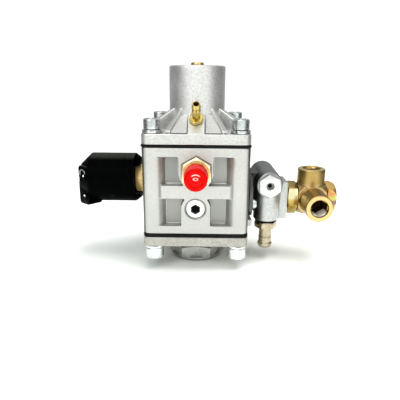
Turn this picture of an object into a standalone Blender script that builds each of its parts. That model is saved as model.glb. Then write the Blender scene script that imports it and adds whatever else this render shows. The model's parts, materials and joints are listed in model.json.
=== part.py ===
"""Water-heated gas pressure reducer with a solenoid shut-off valve.

A square cast body is closed by a top cover with a spring tower and by a bottom
cover with a large hexagonal plug. A solenoid valve is screwed into the left
side, a cast manifold with a filter, a water hose barb and a brass inlet cross
is bolted to the right side, and the capped outlet and the relief valve open to
the front. Origin: centre of the base plug's flat underside. +Z up, -Y front.
"""
import math

import bmesh
import bpy
from mathutils import Matrix, Vector

MM = 0.001                      # all sizes below are in millimetres

# ---- driving dimensions ----------------------------------------------------
GAP = 0.3                       # clearance between neighbouring pieces
FLANGE = 84.0                   # side of the square body and covers
HALF = FLANGE / 2
SEAT = HALF + GAP               # where parts screwed to a side of the body begin
CORNER_R = 5.5                  # vertical corner radius of body and covers
BOLT = 34.0                     # cover screw offset from the centre, both ways
BOLT_HOLE_R = 4.25

# the stack, from the bottom up
PLUG_TOP = 12.5                 # hexagon of the base plug, from 0
COLLAR_Z = 14.3                 # underside of the bottom cover's collar
BOTTOM_COVER_Z0, BOTTOM_COVER_Z1 = 21.2, 29.1
BOTTOM_GASKET_Z0 = BOTTOM_COVER_Z1 + GAP
BOTTOM_GASKET_Z1 = BOTTOM_GASKET_Z0 + 2.5
BODY_Z0 = BOTTOM_GASKET_Z1 + GAP
BODY_Z1 = 101.5
TOP_GASKET_Z0 = BODY_Z1 + GAP
TOP_GASKET_Z1 = TOP_GASKET_Z0 + 1.45
TOP_COVER_Z0 = TOP_GASKET_Z1 + GAP
TOP_COVER_Z1 = 111.8
TOWER_TOP = TOP_COVER_Z1 + 50.0
TOWER_R = 22.8

CORNERS = {"front_left": (-1, -1), "front_right": (1, -1),
           "rear_right": (1, 1), "rear_left": (-1, 1)}

# material: base colour, roughness, metallic
MATERIALS = {
    "cast": ((0.64, 0.64, 0.62), 0.45, 1.0),
    "cast_dark": ((0.52, 0.52, 0.50), 0.42, 1.0),
    "rubber": ((0.02, 0.02, 0.02), 0.7, 0.0),
    "zinc": ((0.78, 0.81, 0.83), 0.25, 1.0),
    "brass": ((0.78, 0.58, 0.24), 0.3, 1.0),
    "brass_pale": ((0.62, 0.55, 0.42), 0.35, 1.0),
    "yellow_zinc": ((0.80, 0.66, 0.36), 0.3, 1.0),
    "red": ((0.8, 0.02, 0.02), 0.25, 0.0),
    "black": ((0.02, 0.022, 0.022), 0.4, 0.0),
    "steel": ((0.6, 0.6, 0.6), 0.3, 1.0),
    "alu": ((0.8, 0.8, 0.8), 0.25, 1.0),
}

# ---- frames ----------------------------------------------------------------
# A frame is (rotation, origin). Solids are built along its local z.
DIAG = math.sqrt(0.5)
UP = Matrix.Identity(3)
RIGHT = Matrix(((0, 0, 1), (1, 0, 0), (0, 1, 0)))     # local z -> +X, x -> +Y, y -> +Z
FRONT = Matrix(((1, 0, 0), (0, 0, -1), (0, 1, 0)))    # local z -> -Y, x -> +X, y -> +Z
PROFILE = Matrix(((0, 0, 1), (-1, 0, 0), (0, 1, 0)))  # local z -> +X, x -> -Y, y -> +Z
FRONT_UP = Matrix(((1, 0, 0), (0, DIAG, -DIAG), (0, DIAG, DIAG)))   # 45 degrees up
FRONT_LEFT = Matrix(((DIAG, 0, -DIAG), (-DIAG, 0, -DIAG), (0, -1, 0)))  # local y -> -Z

WORLD = (UP, (0, 0, 0))

INLET_Z = 52.2
INLET = (RIGHT, (0, 0, INLET_Z))

OUTLET_X, OUTLET_Z = 0.3, 82.1
OUTLET = (FRONT, (OUTLET_X, 0, OUTLET_Z))

RELIEF_X, RELIEF_Z = -0.2, 53.0
RELIEF = (FRONT, (RELIEF_X, 0, RELIEF_Z))

COIL_Z = 69.0
SOLENOID = (RIGHT, (0, 0, COIL_Z))

BARREL_X, BARREL_Z = 60.0, 68.5           # filter barrel
BARREL = (FRONT, (BARREL_X, 0, BARREL_Z))

WATER = (UP, (60.0, -12.6, 0))            # water barrel

CROSS_X = 99.3                            # centre of the inlet cross
CROSS_CENTRE = (CROSS_X, 0, INLET_Z)

# nipple pad on the top cover: vertical foot, then a 45 degree slope
PAD_REACH, PAD_FOOT, PAD_RISE = 41.96, 0.3, 12.3
NIPPLE_REACH = 32.7
NIPPLE = (FRONT_UP, (0.0, -NIPPLE_REACH,
                     TOP_COVER_Z1 + PAD_REACH + PAD_FOOT - NIPPLE_REACH))


# ---- mesh helpers ----------------------------------------------------------
def new_mesh(verts, faces):
    mesh = bpy.data.meshes.new("tmp")
    mesh.from_pydata([Vector(v) * MM for v in verts], [], faces)
    bm = bmesh.new()
    bm.from_mesh(mesh)
    bmesh.ops.recalc_face_normals(bm, faces=bm.faces)
    bm.to_mesh(mesh)
    bm.free()
    return mesh


def place(verts, frame):
    rotation, origin = frame
    return [rotation @ Vector(v) + Vector(origin) for v in verts]


def prism(outline, h0, h1, frame=WORLD):
    """Closed prism over a polygon given in the frame's local x and y."""
    n = len(outline)
    verts = [(x, y, h) for h in (h0, h1) for x, y in outline]
    faces = [list(range(n))[::-1], list(range(n, 2 * n))]
    faces += [[i, (i + 1) % n, n + (i + 1) % n, n + i] for i in range(n)]
    return new_mesh(place(verts, frame), faces)


FACET_SHARE = 0.56              # share of the nominal facets used on round pieces


def lathe(profile, segs, frame=WORLD, closed=False):
    """Turned solid. profile: (radius, height) pairs. An open profile starts and
    ends on the axis; a closed one is a ring's section."""
    segs = max(10, 2 * round(segs * FACET_SHARE / 2))
    rings, verts = [], []
    for radius, height in profile:
        count = 1 if radius < 1e-6 else segs
        rings.append([len(verts) + i for i in range(count)])
        for i in range(count):
            angle = 2 * math.pi * i / segs
            verts.append((radius * math.cos(angle), radius * math.sin(angle), height))
    pairs = list(zip(rings, rings[1:]))
    if closed:
        pairs.append((rings[-1], rings[0]))
    faces = []
    for low, high in pairs:
        for i in range(segs):
            j = (i + 1) % segs
            if len(low) == 1:
                faces.append([low[0], high[i], high[j]])
            elif len(high) == 1:
                faces.append([low[i], low[j], high[0]])
            else:
                faces.append([low[i], low[j], high[j], high[i]])
    return new_mesh(place(verts, frame), faces)


def cyl(radius, h0, h1, segs, frame=WORLD):
    return lathe([(0, h0), (radius, h0), (radius, h1), (0, h1)], segs, frame)


def ring(r0, r1, h0, h1, segs, frame=WORLD):
    return lathe([(r0, h0), (r1, h0), (r1, h1), (r0, h1)], segs, frame, closed=True)


def box(x0, x1, y0, y1, z0, z1):
    return prism([(x0, y0), (x1, y0), (x1, y1), (x0, y1)], z0, z1)


def hexagon(flats, turn=0.0):
    """Regular hexagon by its size across flats, one vertex at angle turn."""
    radius = flats / 2 / math.cos(math.pi / 6)
    return [(radius * math.cos(turn + 2 * math.pi * i / 6),
             radius * math.sin(turn + 2 * math.pi * i / 6)) for i in range(6)]


def arc(x, y, radius, start, end, steps=5):
    """Points on an arc, both ends included. Angles in degrees."""
    angles = [math.radians(start + (end - start) * i / steps) for i in range(steps + 1)]
    return [(x + radius * math.cos(a), y + radius * math.sin(a)) for a in angles]


def rounded_square(side, radius):
    points, inset = [], side / 2 - radius
    for k, (sx, sy) in enumerate(((1, 1), (-1, 1), (-1, -1), (1, -1))):
        points += arc(sx * inset, sy * inset, radius, 90 * k, 90 * (k + 1))
    return points


def coil_spring(radius, wire, h0, h1, turns, frame=WORLD):
    """Wire of radius wire along a helix, with capped ends."""
    per_turn, around = 10, 4
    steps = int(turns * per_turn)
    start, rise = h0 + wire, h1 - h0 - 2 * wire
    sweep = radius * 2 * math.pi * turns
    verts, faces = [], []
    for i in range(steps + 1):
        angle = 2 * math.pi * turns * i / steps
        cos, sin = math.cos(angle), math.sin(angle)
        centre = Vector((radius * cos, radius * sin, start + rise * i / steps))
        outward = Vector((cos, sin, 0))
        along = Vector((-sin * sweep, cos * sweep, rise)).normalized()
        upward = along.cross(outward)
        for k in range(around):
            b = 2 * math.pi * k / around
            verts.append(centre + (outward * math.cos(b) + upward * math.sin(b)) * wire)
    for i in range(steps):
        near, far = i * around, (i + 1) * around
        for k in range(around):
            j = (k + 1) % around
            faces.append([near + k, near + j, far + j, far + k])
    faces.append(list(range(around))[::-1])
    faces.append([steps * around + k for k in range(around)])
    return new_mesh(place(verts, frame), faces)


def join(*meshes):
    """One mesh holding several separate closed shapes."""
    bm = bmesh.new()
    for part in meshes:
        bm.from_mesh(part)
    mesh = bpy.data.meshes.new("tmp")
    bm.to_mesh(mesh)
    bm.free()
    return mesh


def boolean(base, tools, operation):
    """Applies each tool mesh to the base in turn."""
    for tool in tools:
        target = bpy.data.objects.new("bool_target", base)
        cutter = bpy.data.objects.new("bool_tool", tool)
        for obj in (target, cutter):
            bpy.context.scene.collection.objects.link(obj)
        modifier = target.modifiers.new("boolean", "BOOLEAN")
        modifier.operation = operation
        modifier.solver = "EXACT"
        modifier.object = cutter
        bpy.context.view_layer.update()
        depsgraph = bpy.context.evaluated_depsgraph_get()
        base = bpy.data.meshes.new_from_object(target.evaluated_get(depsgraph))
        bpy.data.objects.remove(target)
        bpy.data.objects.remove(cutter)
    return base


def union(base, *tools):
    return boolean(base, tools, "UNION")


def cut(base, *tools):
    return boolean(base, tools, "DIFFERENCE")


def hex_head(flats, h0, h1, chamfer, frame=WORLD, turn=0.0, both_ends=True, segs=36):
    """Hexagon with its corners turned off at the top or at both ends."""
    corner_r = flats / math.sqrt(3) + 0.02
    outer, tip = corner_r + 0.4, corner_r - chamfer * 1.9
    depth = chamfer * 1.25
    low = [(tip, h0 - 0.01), (outer, h0 + depth)] if both_ends else [(outer, h0 - 0.5)]
    envelope = [(0, h0 - 0.5)] + low + [(outer, h1 - depth), (tip, h1 + 0.01), (0, h1 + 0.5)]
    blank = prism(hexagon(flats, turn), h0, h1, frame)
    return boolean(blank, [lathe(envelope, segs, frame)], "INTERSECT")


def corner_posts(radius, z0, z1, segs, offset=BOLT):
    """Four upright cylinders, one near each corner of the body."""
    return join(*[cyl(radius, z0, z1, segs, (UP, (sx * offset, sy * offset, 0)))
                  for sx, sy in CORNERS.values()])


def quarter_turn(mesh, quarters):
    """Turns a mesh about Z, from the front towards the right."""
    mesh.transform(Matrix.Rotation(quarters * math.pi / 2, 4, "Z"))
    return mesh


def tidy(mesh):
    bm = bmesh.new()
    bm.from_mesh(mesh)
    bmesh.ops.remove_doubles(bm, verts=bm.verts, dist=0.000002)
    bmesh.ops.dissolve_degenerate(bm, dist=0.000002, edges=bm.edges)
    bm.to_mesh(mesh)
    bm.free()


def make_material(name, key):
    colour, roughness, metallic = MATERIALS[key]
    material = bpy.data.materials.new(name)
    material.use_nodes = True
    inputs = material.node_tree.nodes["Principled BSDF"].inputs
    inputs["Base Color"].default_value = (*colour, 1)
    inputs["Roughness"].default_value = roughness
    inputs["Metallic"].default_value = metallic
    return material


def add(name, mesh, material_key, pivot=(0, 0, 0)):
    """Makes the named object, with its origin at pivot."""
    tidy(mesh)
    mesh.name = name
    location = Vector(pivot) * MM
    mesh.transform(Matrix.Translation(-location))
    mesh.shade_smooth()
    mesh.set_sharp_from_angle(angle=math.radians(30))
    obj = bpy.data.objects.new(name, mesh)
    obj.location = location
    bpy.context.scene.collection.objects.link(obj)
    mesh.materials.clear()      # drops any slots the booleans left
    mesh.materials.append(make_material(name, material_key))


# ---- body ------------------------------------------------------------------
POCKET = 7.0                    # depth of the casting pockets in the body sides
COLUMN_OFFSET, COLUMN_R = 33.0, 9.0       # round corner columns around the screws
MANIFOLD_BOLT = 22.0            # manifold screw offset in y
BRACKET_BOLT = 20.0             # offset in x of the tapped holes in the back


def pocket_outlines():
    """Pocket outlines (across, z) for the left half of a side: front, plain, slim."""
    low, high = BODY_Z0 + 6.7, BODY_Z0 + 61.9
    web_low, web_high = BODY_Z0 + 29.0, BODY_Z0 + 39.7
    column, web, boss, slot = -COLUMN_OFFSET, -27.0, -15.0, -28.5
    # arch boss of the relief valve below, round boss of the outlet above
    relief_r, outlet_r = 11.6, 14.0
    relief_end = 180 - math.degrees(math.asin((web_low - RELIEF_Z) / relief_r))
    outlet_start = 180 + math.degrees(math.asin((OUTLET_Z - web_high) / outlet_r))
    front = [(column, low), (RELIEF_X - relief_r, low)]
    front += arc(RELIEF_X, RELIEF_Z, relief_r, 180, relief_end)
    front += [(web, web_low), (web, web_high)]
    front += arc(OUTLET_X, OUTLET_Z, outlet_r, outlet_start, 180)
    front += [(OUTLET_X - outlet_r, high), (column, high)]
    # plain boss in the middle
    plain = [(column, low), (boss, low), (boss, web_low), (web, web_low),
             (web, web_high), (boss, web_high), (boss, high), (column, high)]
    # only a slot beside the column, the pad stays flat
    slim = [(column, low), (slot, low), (slot, high), (column, high)]
    return front, plain, slim


def side_pockets():
    front, plain, slim = pocket_outlines()
    cutters = []
    for quarters, outline in enumerate((front, slim, plain, plain)):
        for side in (1, -1):
            points = [(side * across, z) for across, z in outline][::side]
            pocket = prism(points, HALF - POCKET, HALF + 1.0, (FRONT, (0, 0, 0)))
            cutters.append(quarter_turn(pocket, quarters))
    return cut(join(*cutters), corner_posts(COLUMN_R, 30, 110, 32, COLUMN_OFFSET))


def manifold_holes(radius, x0, x1):
    return join(*[cyl(radius, x0, x1, 14, (RIGHT, (0, y, INLET_Z)))
                  for y in (-MANIFOLD_BOLT, MANIFOLD_BOLT)])


def body_block():
    lug = box(HALF - 3, HALF + 4.6, -27, -9, BODY_Z0 + 1.8, BODY_Z0 + 7.4)
    # lower chamber, passage and piston bore
    chambers = [(0, 30), (26, 30), (26, 58), (24, 60), (8, 60),
                (8, 76), (22, 76), (24, 78), (24, 104), (0, 104)]
    outlet_port = [(0, 20), (6, 20), (6, 29.5), (9.6, 29.5), (9.6, 45), (0, 45)]
    relief_port = [(0, 20), (3.5, 20), (3.5, 30), (7.45, 30),
                   (7.45, 40.9), (8.5, 42.2), (8.5, 45), (0, 45)]
    solenoid_port = [(0, -45), (8.4, -45), (8.4, -27), (3, -27), (3, -5), (0, -5)]
    bracket_holes = join(*[cyl(4.1, -45, -33, 18, (FRONT, (x, 0, BODY_Z0 + 34.3)))
                           for x in (-BRACKET_BOLT, BRACKET_BOLT)])
    body = prism(rounded_square(FLANGE, CORNER_R), BODY_Z0, BODY_Z1)
    body = cut(body, side_pockets())
    body = union(body, lug)
    return cut(
        body,
        lathe(chambers, 48),
        corner_posts(BOLT_HOLE_R, 88, 105, 20),
        corner_posts(BOLT_HOLE_R, 30, 46, 20),
        lathe(outlet_port, 28, OUTLET),
        lathe(relief_port, 28, RELIEF),
        lathe(solenoid_port, 24, SOLENOID),
        cyl(4.2, 20, 45, 20, INLET),
        manifold_holes(2.6, 30, 45),
        bracket_holes)


# ---- covers, gaskets and base plug -----------------------------------------
def cover_panel():
    """Sloped panel that fills one side between tower and flange."""
    low = [(-21.5, -40.4), (21.5, -40.4)]
    high = [(12.0, -15.0), (-12.0, -15.0)]
    verts = [(x, y, TOP_COVER_Z1 - 1.2) for x, y in low + high]
    verts += [(x, y, TOP_COVER_Z1 + 0.9) for x, y in low]
    verts += [(x, y, TOP_COVER_Z1 + 15.0) for x, y in high]
    return new_mesh(verts, [[3, 2, 1, 0], [4, 5, 6, 7], [0, 1, 5, 4],
                            [1, 2, 6, 5], [2, 3, 7, 6], [3, 0, 4, 7]])


def cover_rib(side):
    """Rib on one edge of the panel, spreading outwards to the flange."""
    inner, outer = Vector((side * 11.5, -15.0)), Vector((side * 21.9, -40.6))
    along = (outer - inner).normalized()
    across = Vector((-along.y, along.x))
    # distance along the rib, height above the flange, half width
    stations = ((0, 17.7, 1.2), (3.6, 17.4, 1.3), ((outer - inner).length, 2.3, 2.2))
    verts = []
    for flank in (-1, 1):
        for distance, height, half_width in stations:
            foot = inner + along * distance + across * flank * half_width
            verts += [(foot.x, foot.y, TOP_COVER_Z1 - 1.5),
                      (foot.x, foot.y, TOP_COVER_Z1 + height)]
    return new_mesh(verts, [[0, 2, 4, 5, 3, 1], [6, 7, 9, 11, 10, 8],
                            [0, 1, 7, 6], [1, 3, 9, 7], [3, 5, 11, 9],
                            [5, 4, 10, 11], [4, 2, 8, 10], [2, 0, 6, 8]])


def nipple_pad():
    foot = TOP_COVER_Z1 + PAD_FOOT
    top = foot + PAD_RISE
    return prism([(15, TOP_COVER_Z1 - 2), (PAD_REACH, TOP_COVER_Z1 - 2), (PAD_REACH, foot),
                  (PAD_REACH - PAD_RISE, top), (15, top)], -6.5, 6.5, (PROFILE, (0, 0, 0)))


def top_cover():
    cover = prism(rounded_square(FLANGE, CORNER_R), TOP_COVER_Z0, TOP_COVER_Z1)
    tower = [(0, TOP_COVER_Z0 + 2), (TOWER_R, TOP_COVER_Z0 + 2), (TOWER_R, TOWER_TOP - 2.0),
             (TOWER_R - 0.6, TOWER_TOP - 0.6), (TOWER_R - 2.0, TOWER_TOP), (0, TOWER_TOP)]
    # spring chamber and the hole of the adjusting screw
    chamber = [(0, 100), (18.5, 100), (18.5, 152), (17, 153.5),
               (5.65, 153.5), (5.65, 165), (0, 165)]
    cover = union(cover, lathe(tower, 56))
    for quarters in range(4):
        for part in (cover_panel(), cover_rib(-1), cover_rib(1)):
            cover = union(cover, quarter_turn(part, quarters))
    cover = union(cover, nipple_pad())
    return cut(cover,
               lathe(chamber, 40),
               corner_posts(BOLT_HOLE_R, 100, 120, 20),
               cyl(3.0, -25, 3, 16, NIPPLE))


def gasket(z0, z1, side, hole_r):
    plate = prism(rounded_square(side, CORNER_R - 0.7), z0, z1)
    return cut(plate, cyl(hole_r, z0 - 1, z1 + 1, 40), corner_posts(4.5, z0 - 1, z1 + 1, 16))


def bottom_cover():
    collar_r, overlap_z = 21.4, BOTTOM_COVER_Z0 + 2
    collar = [(0, COLLAR_Z), (collar_r - 1, COLLAR_Z), (collar_r, COLLAR_Z + 1),
              (collar_r, overlap_z), (0, overlap_z)]
    bore = [(0, 10), (16.4, 10), (16.4, 25), (25, 25), (26, 26), (26, 31), (0, 31)]
    cover = prism(rounded_square(FLANGE + 0.3, CORNER_R), BOTTOM_COVER_Z0, BOTTOM_COVER_Z1)
    cover = union(cover, lathe(collar, 44))
    return cut(cover, lathe(bore, 44), corner_posts(BOLT_HOLE_R, 15, 35, 20))


def base_plug():
    foot = [(0, 0), (21.6, 0), (22.3, 0.7), (22.3, 2.6), (0, 2.6)]
    plug = union(hex_head(42.0, 0.8, PLUG_TOP, 1.4, segs=48),
                 lathe(foot, 72),
                 cyl(16.1, PLUG_TOP - 3, 27.5, 40))
    return cut(plug, cyl(10.5, 19, 30, 28))


def add_housing():
    add("body_block", body_block(), "cast")
    add("top_cover", top_cover(), "cast")
    add("bottom_cover", bottom_cover(), "cast_dark")
    add("top_gasket", gasket(TOP_GASKET_Z0, TOP_GASKET_Z1, FLANGE + 0.9, 24.6), "rubber")
    add("bottom_gasket", gasket(BOTTOM_GASKET_Z0, BOTTOM_GASKET_Z1, FLANGE + 0.2, 26.4),
        "rubber")
    add("base_plug", base_plug(), "cast_dark")
    add("base_plug_seal", ring(16.6, 20.2, PLUG_TOP + GAP, COLLAR_Z - GAP, 36), "rubber")


# ---- cover screws and washers ----------------------------------------------
SCREW_R, SCREW_LENGTH = 3.9, 25.0
# end: cover face, outward direction, head radius and height, washer radius and
# thickness, turn of the socket from one corner to the next
FASTENERS = {
    "top": (TOP_COVER_Z1, 1, 6.5, 8.0, 7.6, 2.2, 0.7),
    "bottom": (BOTTOM_COVER_Z0, -1, 7.6, 9.2, 7.9, 2.0, 0.9),
}


def cap_screw(head_r, head_h):
    """Socket head cap screw; its head's seat is at local z = 0, head upwards."""
    profile = [(0, -SCREW_LENGTH), (SCREW_R - 0.8, -SCREW_LENGTH),
               (SCREW_R, -SCREW_LENGTH + 0.8), (SCREW_R, 0.0), (head_r, 0.0),
               (head_r, head_h - 0.7), (head_r - 0.7, head_h), (0, head_h)]
    return cut(lathe(profile, 24), prism(hexagon(6.0, 0.4), head_h - 4.0, head_h + 1))


def add_fasteners():
    for end, (face, out, head_r, head_h, washer_r, washer_t, turn) in FASTENERS.items():
        inner = face + out * GAP
        outer = inner + out * washer_t
        flip = Matrix.Rotation(0 if out > 0 else math.pi, 4, "X")
        for k, (corner, (sx, sy)) in enumerate(CORNERS.items()):
            x, y = sx * BOLT, sy * BOLT
            washer = ring(4.4, washer_r, min(inner, outer), max(inner, outer), 24,
                          (UP, (x, y, 0)))
            add(f"{end}_washer_{corner}", washer, "zinc")
            screw = cap_screw(head_r, head_h)
            move = Matrix.Translation(Vector((x, y, outer + out * GAP)) * MM)
            screw.transform(move @ flip @ Matrix.Rotation(turn * k, 4, "Z"))
            add(f"{end}_screw_{corner}", screw, "zinc")


# ---- pressure setting in the tower -----------------------------------------
SPRING_SEAT_TOP = 145.7
ADJUSTER_Z = SPRING_SEAT_TOP + GAP        # lower end of the adjusting screw


def adjusting_screw():
    profile = [(0, ADJUSTER_Z), (4.4, ADJUSTER_Z), (5.35, ADJUSTER_Z + 1.0),
               (5.35, 163.7), (4.7, 164.3), (0, 164.3)]
    return cut(lathe(profile, 28), prism(hexagon(5.0, 0.3), 159.0, 166))


def spring_seat():
    return lathe([(0, 140.6), (11.4, 140.6), (11.4, 142.4), (17.0, 142.4), (17.0, 145.2),
                  (16.4, SPRING_SEAT_TOP), (0, SPRING_SEAT_TOP)], 32)


def add_pressure_setting():
    add("adjusting_screw", adjusting_screw(), "brass", (0, 0, ADJUSTER_Z))
    add("spring_seat", spring_seat(), "zinc", (0, 0, SPRING_SEAT_TOP))
    add("main_spring", coil_spring(14.2, 1.7, 99.0, 142.0, 5.5), "steel")


# ---- main valve ------------------------------------------------------------
PISTON_Z, PISTON_R = 90.0, 23.6           # underside and radius
GROOVE_Z0, GROOVE_Z1, GROOVE_R = 92.6, 95.4, 21.4
STEM_TOP = 95.7


def piston():
    profile = [(0, PISTON_Z), (22.8, PISTON_Z), (PISTON_R, PISTON_Z + 0.8),
               (PISTON_R, GROOVE_Z0), (GROOVE_R, GROOVE_Z0),
               (GROOVE_R, GROOVE_Z1), (PISTON_R, GROOVE_Z1),
               (PISTON_R, 97.4), (23.0, 98.0), (12.0, 98.6),
               (12.0, 100.2), (11.2, 101.0), (0, 101.0)]
    return cut(lathe(profile, 40), cyl(2.8, 85, 96, 16))


def piston_ring():
    return ring(GROOVE_R + GAP, 23.75, GROOVE_Z0 + GAP, GROOVE_Z1 - GAP, 40)


def valve_stem():
    return lathe([(0, 52.4), (2.0, 52.4), (2.0, 55.0), (3.4, 55.0), (3.4, 55.7), (2.5, 55.7),
                  (2.5, STEM_TOP - 0.3), (2.1, STEM_TOP), (0, STEM_TOP)], 16)


def valve_poppet():
    return lathe([(2.8, 56.0), (6.9, 56.0), (6.9, 57.8), (6.2, 58.4), (2.8, 58.4)],
                 24, closed=True)


def valve_seat():
    return lathe([(3.9, 61.0), (4.6, 60.2), (7.6, 60.2), (7.6, 66.0), (3.9, 66.0)],
                 28, closed=True)


def add_main_valve():
    pivot = (0, 0, PISTON_Z)              # shared by the pieces that move together
    add("piston", piston(), "alu", pivot)
    add("piston_ring", piston_ring(), "rubber", pivot)
    add("valve_stem", valve_stem(), "steel", pivot)
    add("valve_poppet", valve_poppet(), "rubber", pivot)
    add("valve_seat", valve_seat(), "brass")
    add("valve_spring", coil_spring(6.4, 0.8, 19.4, 54.6, 6.5), "steel")


# ---- vacuum nipple and outlet ----------------------------------------------
CAP_RIM = 51.8                  # open end of the outlet cap, distance to the front


def vacuum_nipple():
    barb = [(0, 3), (2.9, 3), (2.9, 10.2), (3.4, 11.2), (2.85, 13.7),
            (2.85, 14.1), (3.4, 15.1), (2.8, 18.1), (0, 18.1)]
    bore = [(0, -10), (1.6, -10), (1.6, 8), (2.1, 8.6), (2.1, 25), (0, 25)]
    nipple = union(hex_head(10.0, GAP, 3.6, 0.4, NIPPLE, math.radians(-100), segs=24),
                   cyl(2.65, -4, 3, 16, NIPPLE),
                   lathe(barb, 18, NIPPLE))
    return cut(nipple, lathe(bore, 16, NIPPLE))


def outlet_fitting():
    spigot = [(0, 44), (7.3, 44), (7.3, 62.5), (6.7, 63.1), (0, 63.1)]
    fitting = union(hex_head(22.4, SEAT, 46.2, 1.3, OUTLET, math.pi / 2, both_ends=False),
                    cyl(9.3, 30, 44, 28, OUTLET),
                    lathe(spigot, 28, OUTLET))
    return cut(fitting, cyl(4.6, 20, 66, 20, OUTLET))


def outlet_cap():
    return lathe([(0, 67.7), (3.1, 67.7), (3.4, 67.1), (8.1, 67.1), (8.7, 66.3), (8.7, 53.4),
                  (9.1, 53.0), (9.1, CAP_RIM), (7.6, CAP_RIM), (7.6, 63.7), (0, 63.7)],
                 36, OUTLET)


def add_nipple_and_outlet():
    add("vacuum_nipple", vacuum_nipple(), "brass")
    add("outlet_fitting", outlet_fitting(), "brass")
    add("outlet_cap", outlet_cap(), "red", (OUTLET_X, -CAP_RIM, OUTLET_Z))


# ---- relief valve; distances run to the front ------------------------------
POPPET_BACK, POPPET_FRONT = 30.3, 31.8
RELIEF_PLUG_BACK, RELIEF_PLUG_FRONT = 36.0, 41.0


def relief_plug():
    back, front = RELIEF_PLUG_BACK, RELIEF_PLUG_FRONT
    profile = [(0, back), (7.1, back), (7.1, front - 0.4), (6.7, front), (0, front)]
    return cut(lathe(profile, 32, RELIEF), prism(hexagon(6.0), 37.6, 45, RELIEF))


def relief_poppet():
    return lathe([(0, POPPET_BACK), (6.2, POPPET_BACK), (6.2, 31.5), (5.9, POPPET_FRONT),
                  (2.0, POPPET_FRONT), (2.0, 33.2), (0, 33.2)], 22, RELIEF)


def relief_spring():
    return coil_spring(4.2, 0.5, POPPET_FRONT + GAP, RELIEF_PLUG_BACK - GAP, 2.5, RELIEF)


def add_relief_valve():
    add("relief_plug", relief_plug(), "alu")
    add("relief_poppet", relief_poppet(), "rubber", (RELIEF_X, -POPPET_BACK, RELIEF_Z))
    add("relief_spring", relief_spring(), "steel")


# ---- solenoid valve; heights along its axis are x positions -----------------
BASE_HEX_X = -47.2              # outer face of the base's hexagon
COIL_INNER = BASE_HEX_X - GAP   # end of the coil towards the body
TUBE_END = -90.6                # closed end of the guide tube's bore
PLUNGER_TAIL, PLUNGER_TIP = -75.0, -32.2
CONNECTOR = (-91.4, -11.4, 64.4)
TERMINALS = {"upper": -8.3, "lower": 8.7}     # distance below the connector's centre


def terminal_frame(drop):
    x, y, z = CONNECTOR
    return (FRONT_LEFT, (x, y, z - drop))


def solenoid_base():
    bore = [(0, -50), (6.6, -50), (6.6, -32), (2.2, -32), (2.2, -25), (0, -25)]
    base = union(hex_head(21.4, BASE_HEX_X, -SEAT, 0.6, SOLENOID, math.pi / 2),
                 cyl(8.1, -SEAT - 2, -28.5, 24, SOLENOID))
    return cut(base, lathe(bore, 24, SOLENOID))


def guide_tube():
    return lathe([(0, TUBE_END), (5.0, TUBE_END), (5.0, -32.4), (6.2, -32.4), (6.2, -92.4),
                  (3.0, -92.4), (3.0, -99.0), (0, -99.0)], 24, SOLENOID)


def coil_body():
    shell = [(0, -99.6), (11.2, -99.6), (12.2, -98.9), (20.8, -90.0), (20.8, -52.0),
             (15.2, -47.8), (14.6, COIL_INNER), (0, COIL_INNER)]
    # housing of the connector: across, down
    housing = [(-7.4, -14.4), (-5.4, -16.4), (4.2, -16.4), (6.2, -14.4),
               (6.2, 12.8), (4.2, 14.8), (-5.4, 14.8), (-7.4, 12.8)]
    # bore for the guide tube and recess for the nut
    bore = [(0, -105), (9.3, -105), (9.3, -93.2), (6.5, -93.2), (6.5, -40), (0, -40)]
    coil = lathe(shell, 40, SOLENOID)
    # flat facet along the top
    coil = cut(coil, box(-120, -40, -30, 30, COIL_Z + 19.9, COIL_Z + 30))
    coil = union(coil, prism(housing, -8, 5.0, (FRONT_LEFT, CONNECTOR)))
    coil = cut(coil, lathe(bore, 28, SOLENOID))
    return cut(coil, *[cyl(2.7, 0.5, 8, 18, terminal_frame(drop))
                       for drop in TERMINALS.values()])


def plunger():
    return lathe([(0, PLUNGER_TAIL), (4.3, PLUNGER_TAIL), (4.7, -74.6), (4.7, -36.5),
                  (1.7, -34.0), (1.7, PLUNGER_TIP), (0, PLUNGER_TIP)], 22, SOLENOID)


def plunger_spring():
    return coil_spring(3.6, 0.5, TUBE_END + GAP, PLUNGER_TAIL - GAP, 5.5, SOLENOID)


def coil_nut():
    nut = hex_head(14.0, -98.2, -93.5, 0.6, SOLENOID, 0.2, segs=24)
    return cut(nut, cyl(3.3, -105, -90, 16, SOLENOID))


def terminal_pin(drop):
    return lathe([(0, 0.8), (1.1, 0.8), (1.1, 4.6), (0.6, 5.2), (0, 5.2)],
                 12, terminal_frame(drop))


def add_solenoid():
    add("solenoid_base", solenoid_base(), "brass")
    add("guide_tube", guide_tube(), "steel")
    add("coil_body", coil_body(), "black")
    add("plunger", plunger(), "steel", (PLUNGER_TIP, 0, COIL_Z))
    add("plunger_spring", plunger_spring(), "steel")
    add("coil_nut", coil_nut(), "zinc")
    for level, drop in TERMINALS.items():
        add("terminal_pin_" + level, terminal_pin(drop), "zinc")


# ---- side manifold with filter and water barb -------------------------------
MANIFOLD_FLANGE = [             # y, z
    (-27, 47), (-22, 42), (22, 42), (27, 47), (27, 68), (20, 75), (-20, 75), (-27, 68)]
MANIFOLD_GASKET_X = SEAT + 0.8            # outer face of the gasket
FLANGE_X0 = MANIFOLD_GASKET_X + GAP
FLANGE_X1 = FLANGE_X0 + 3.2
BARREL_R = 11.0                 # filter and water barrels
BARREL_FRONT = 24.0             # front end of the filter barrel
WATER_Z = 36.2                  # lower end of the water barrel
BARB_HEX_TOP = 34.6
EAR_X = 78.0                    # outer face of the inlet ear


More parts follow.
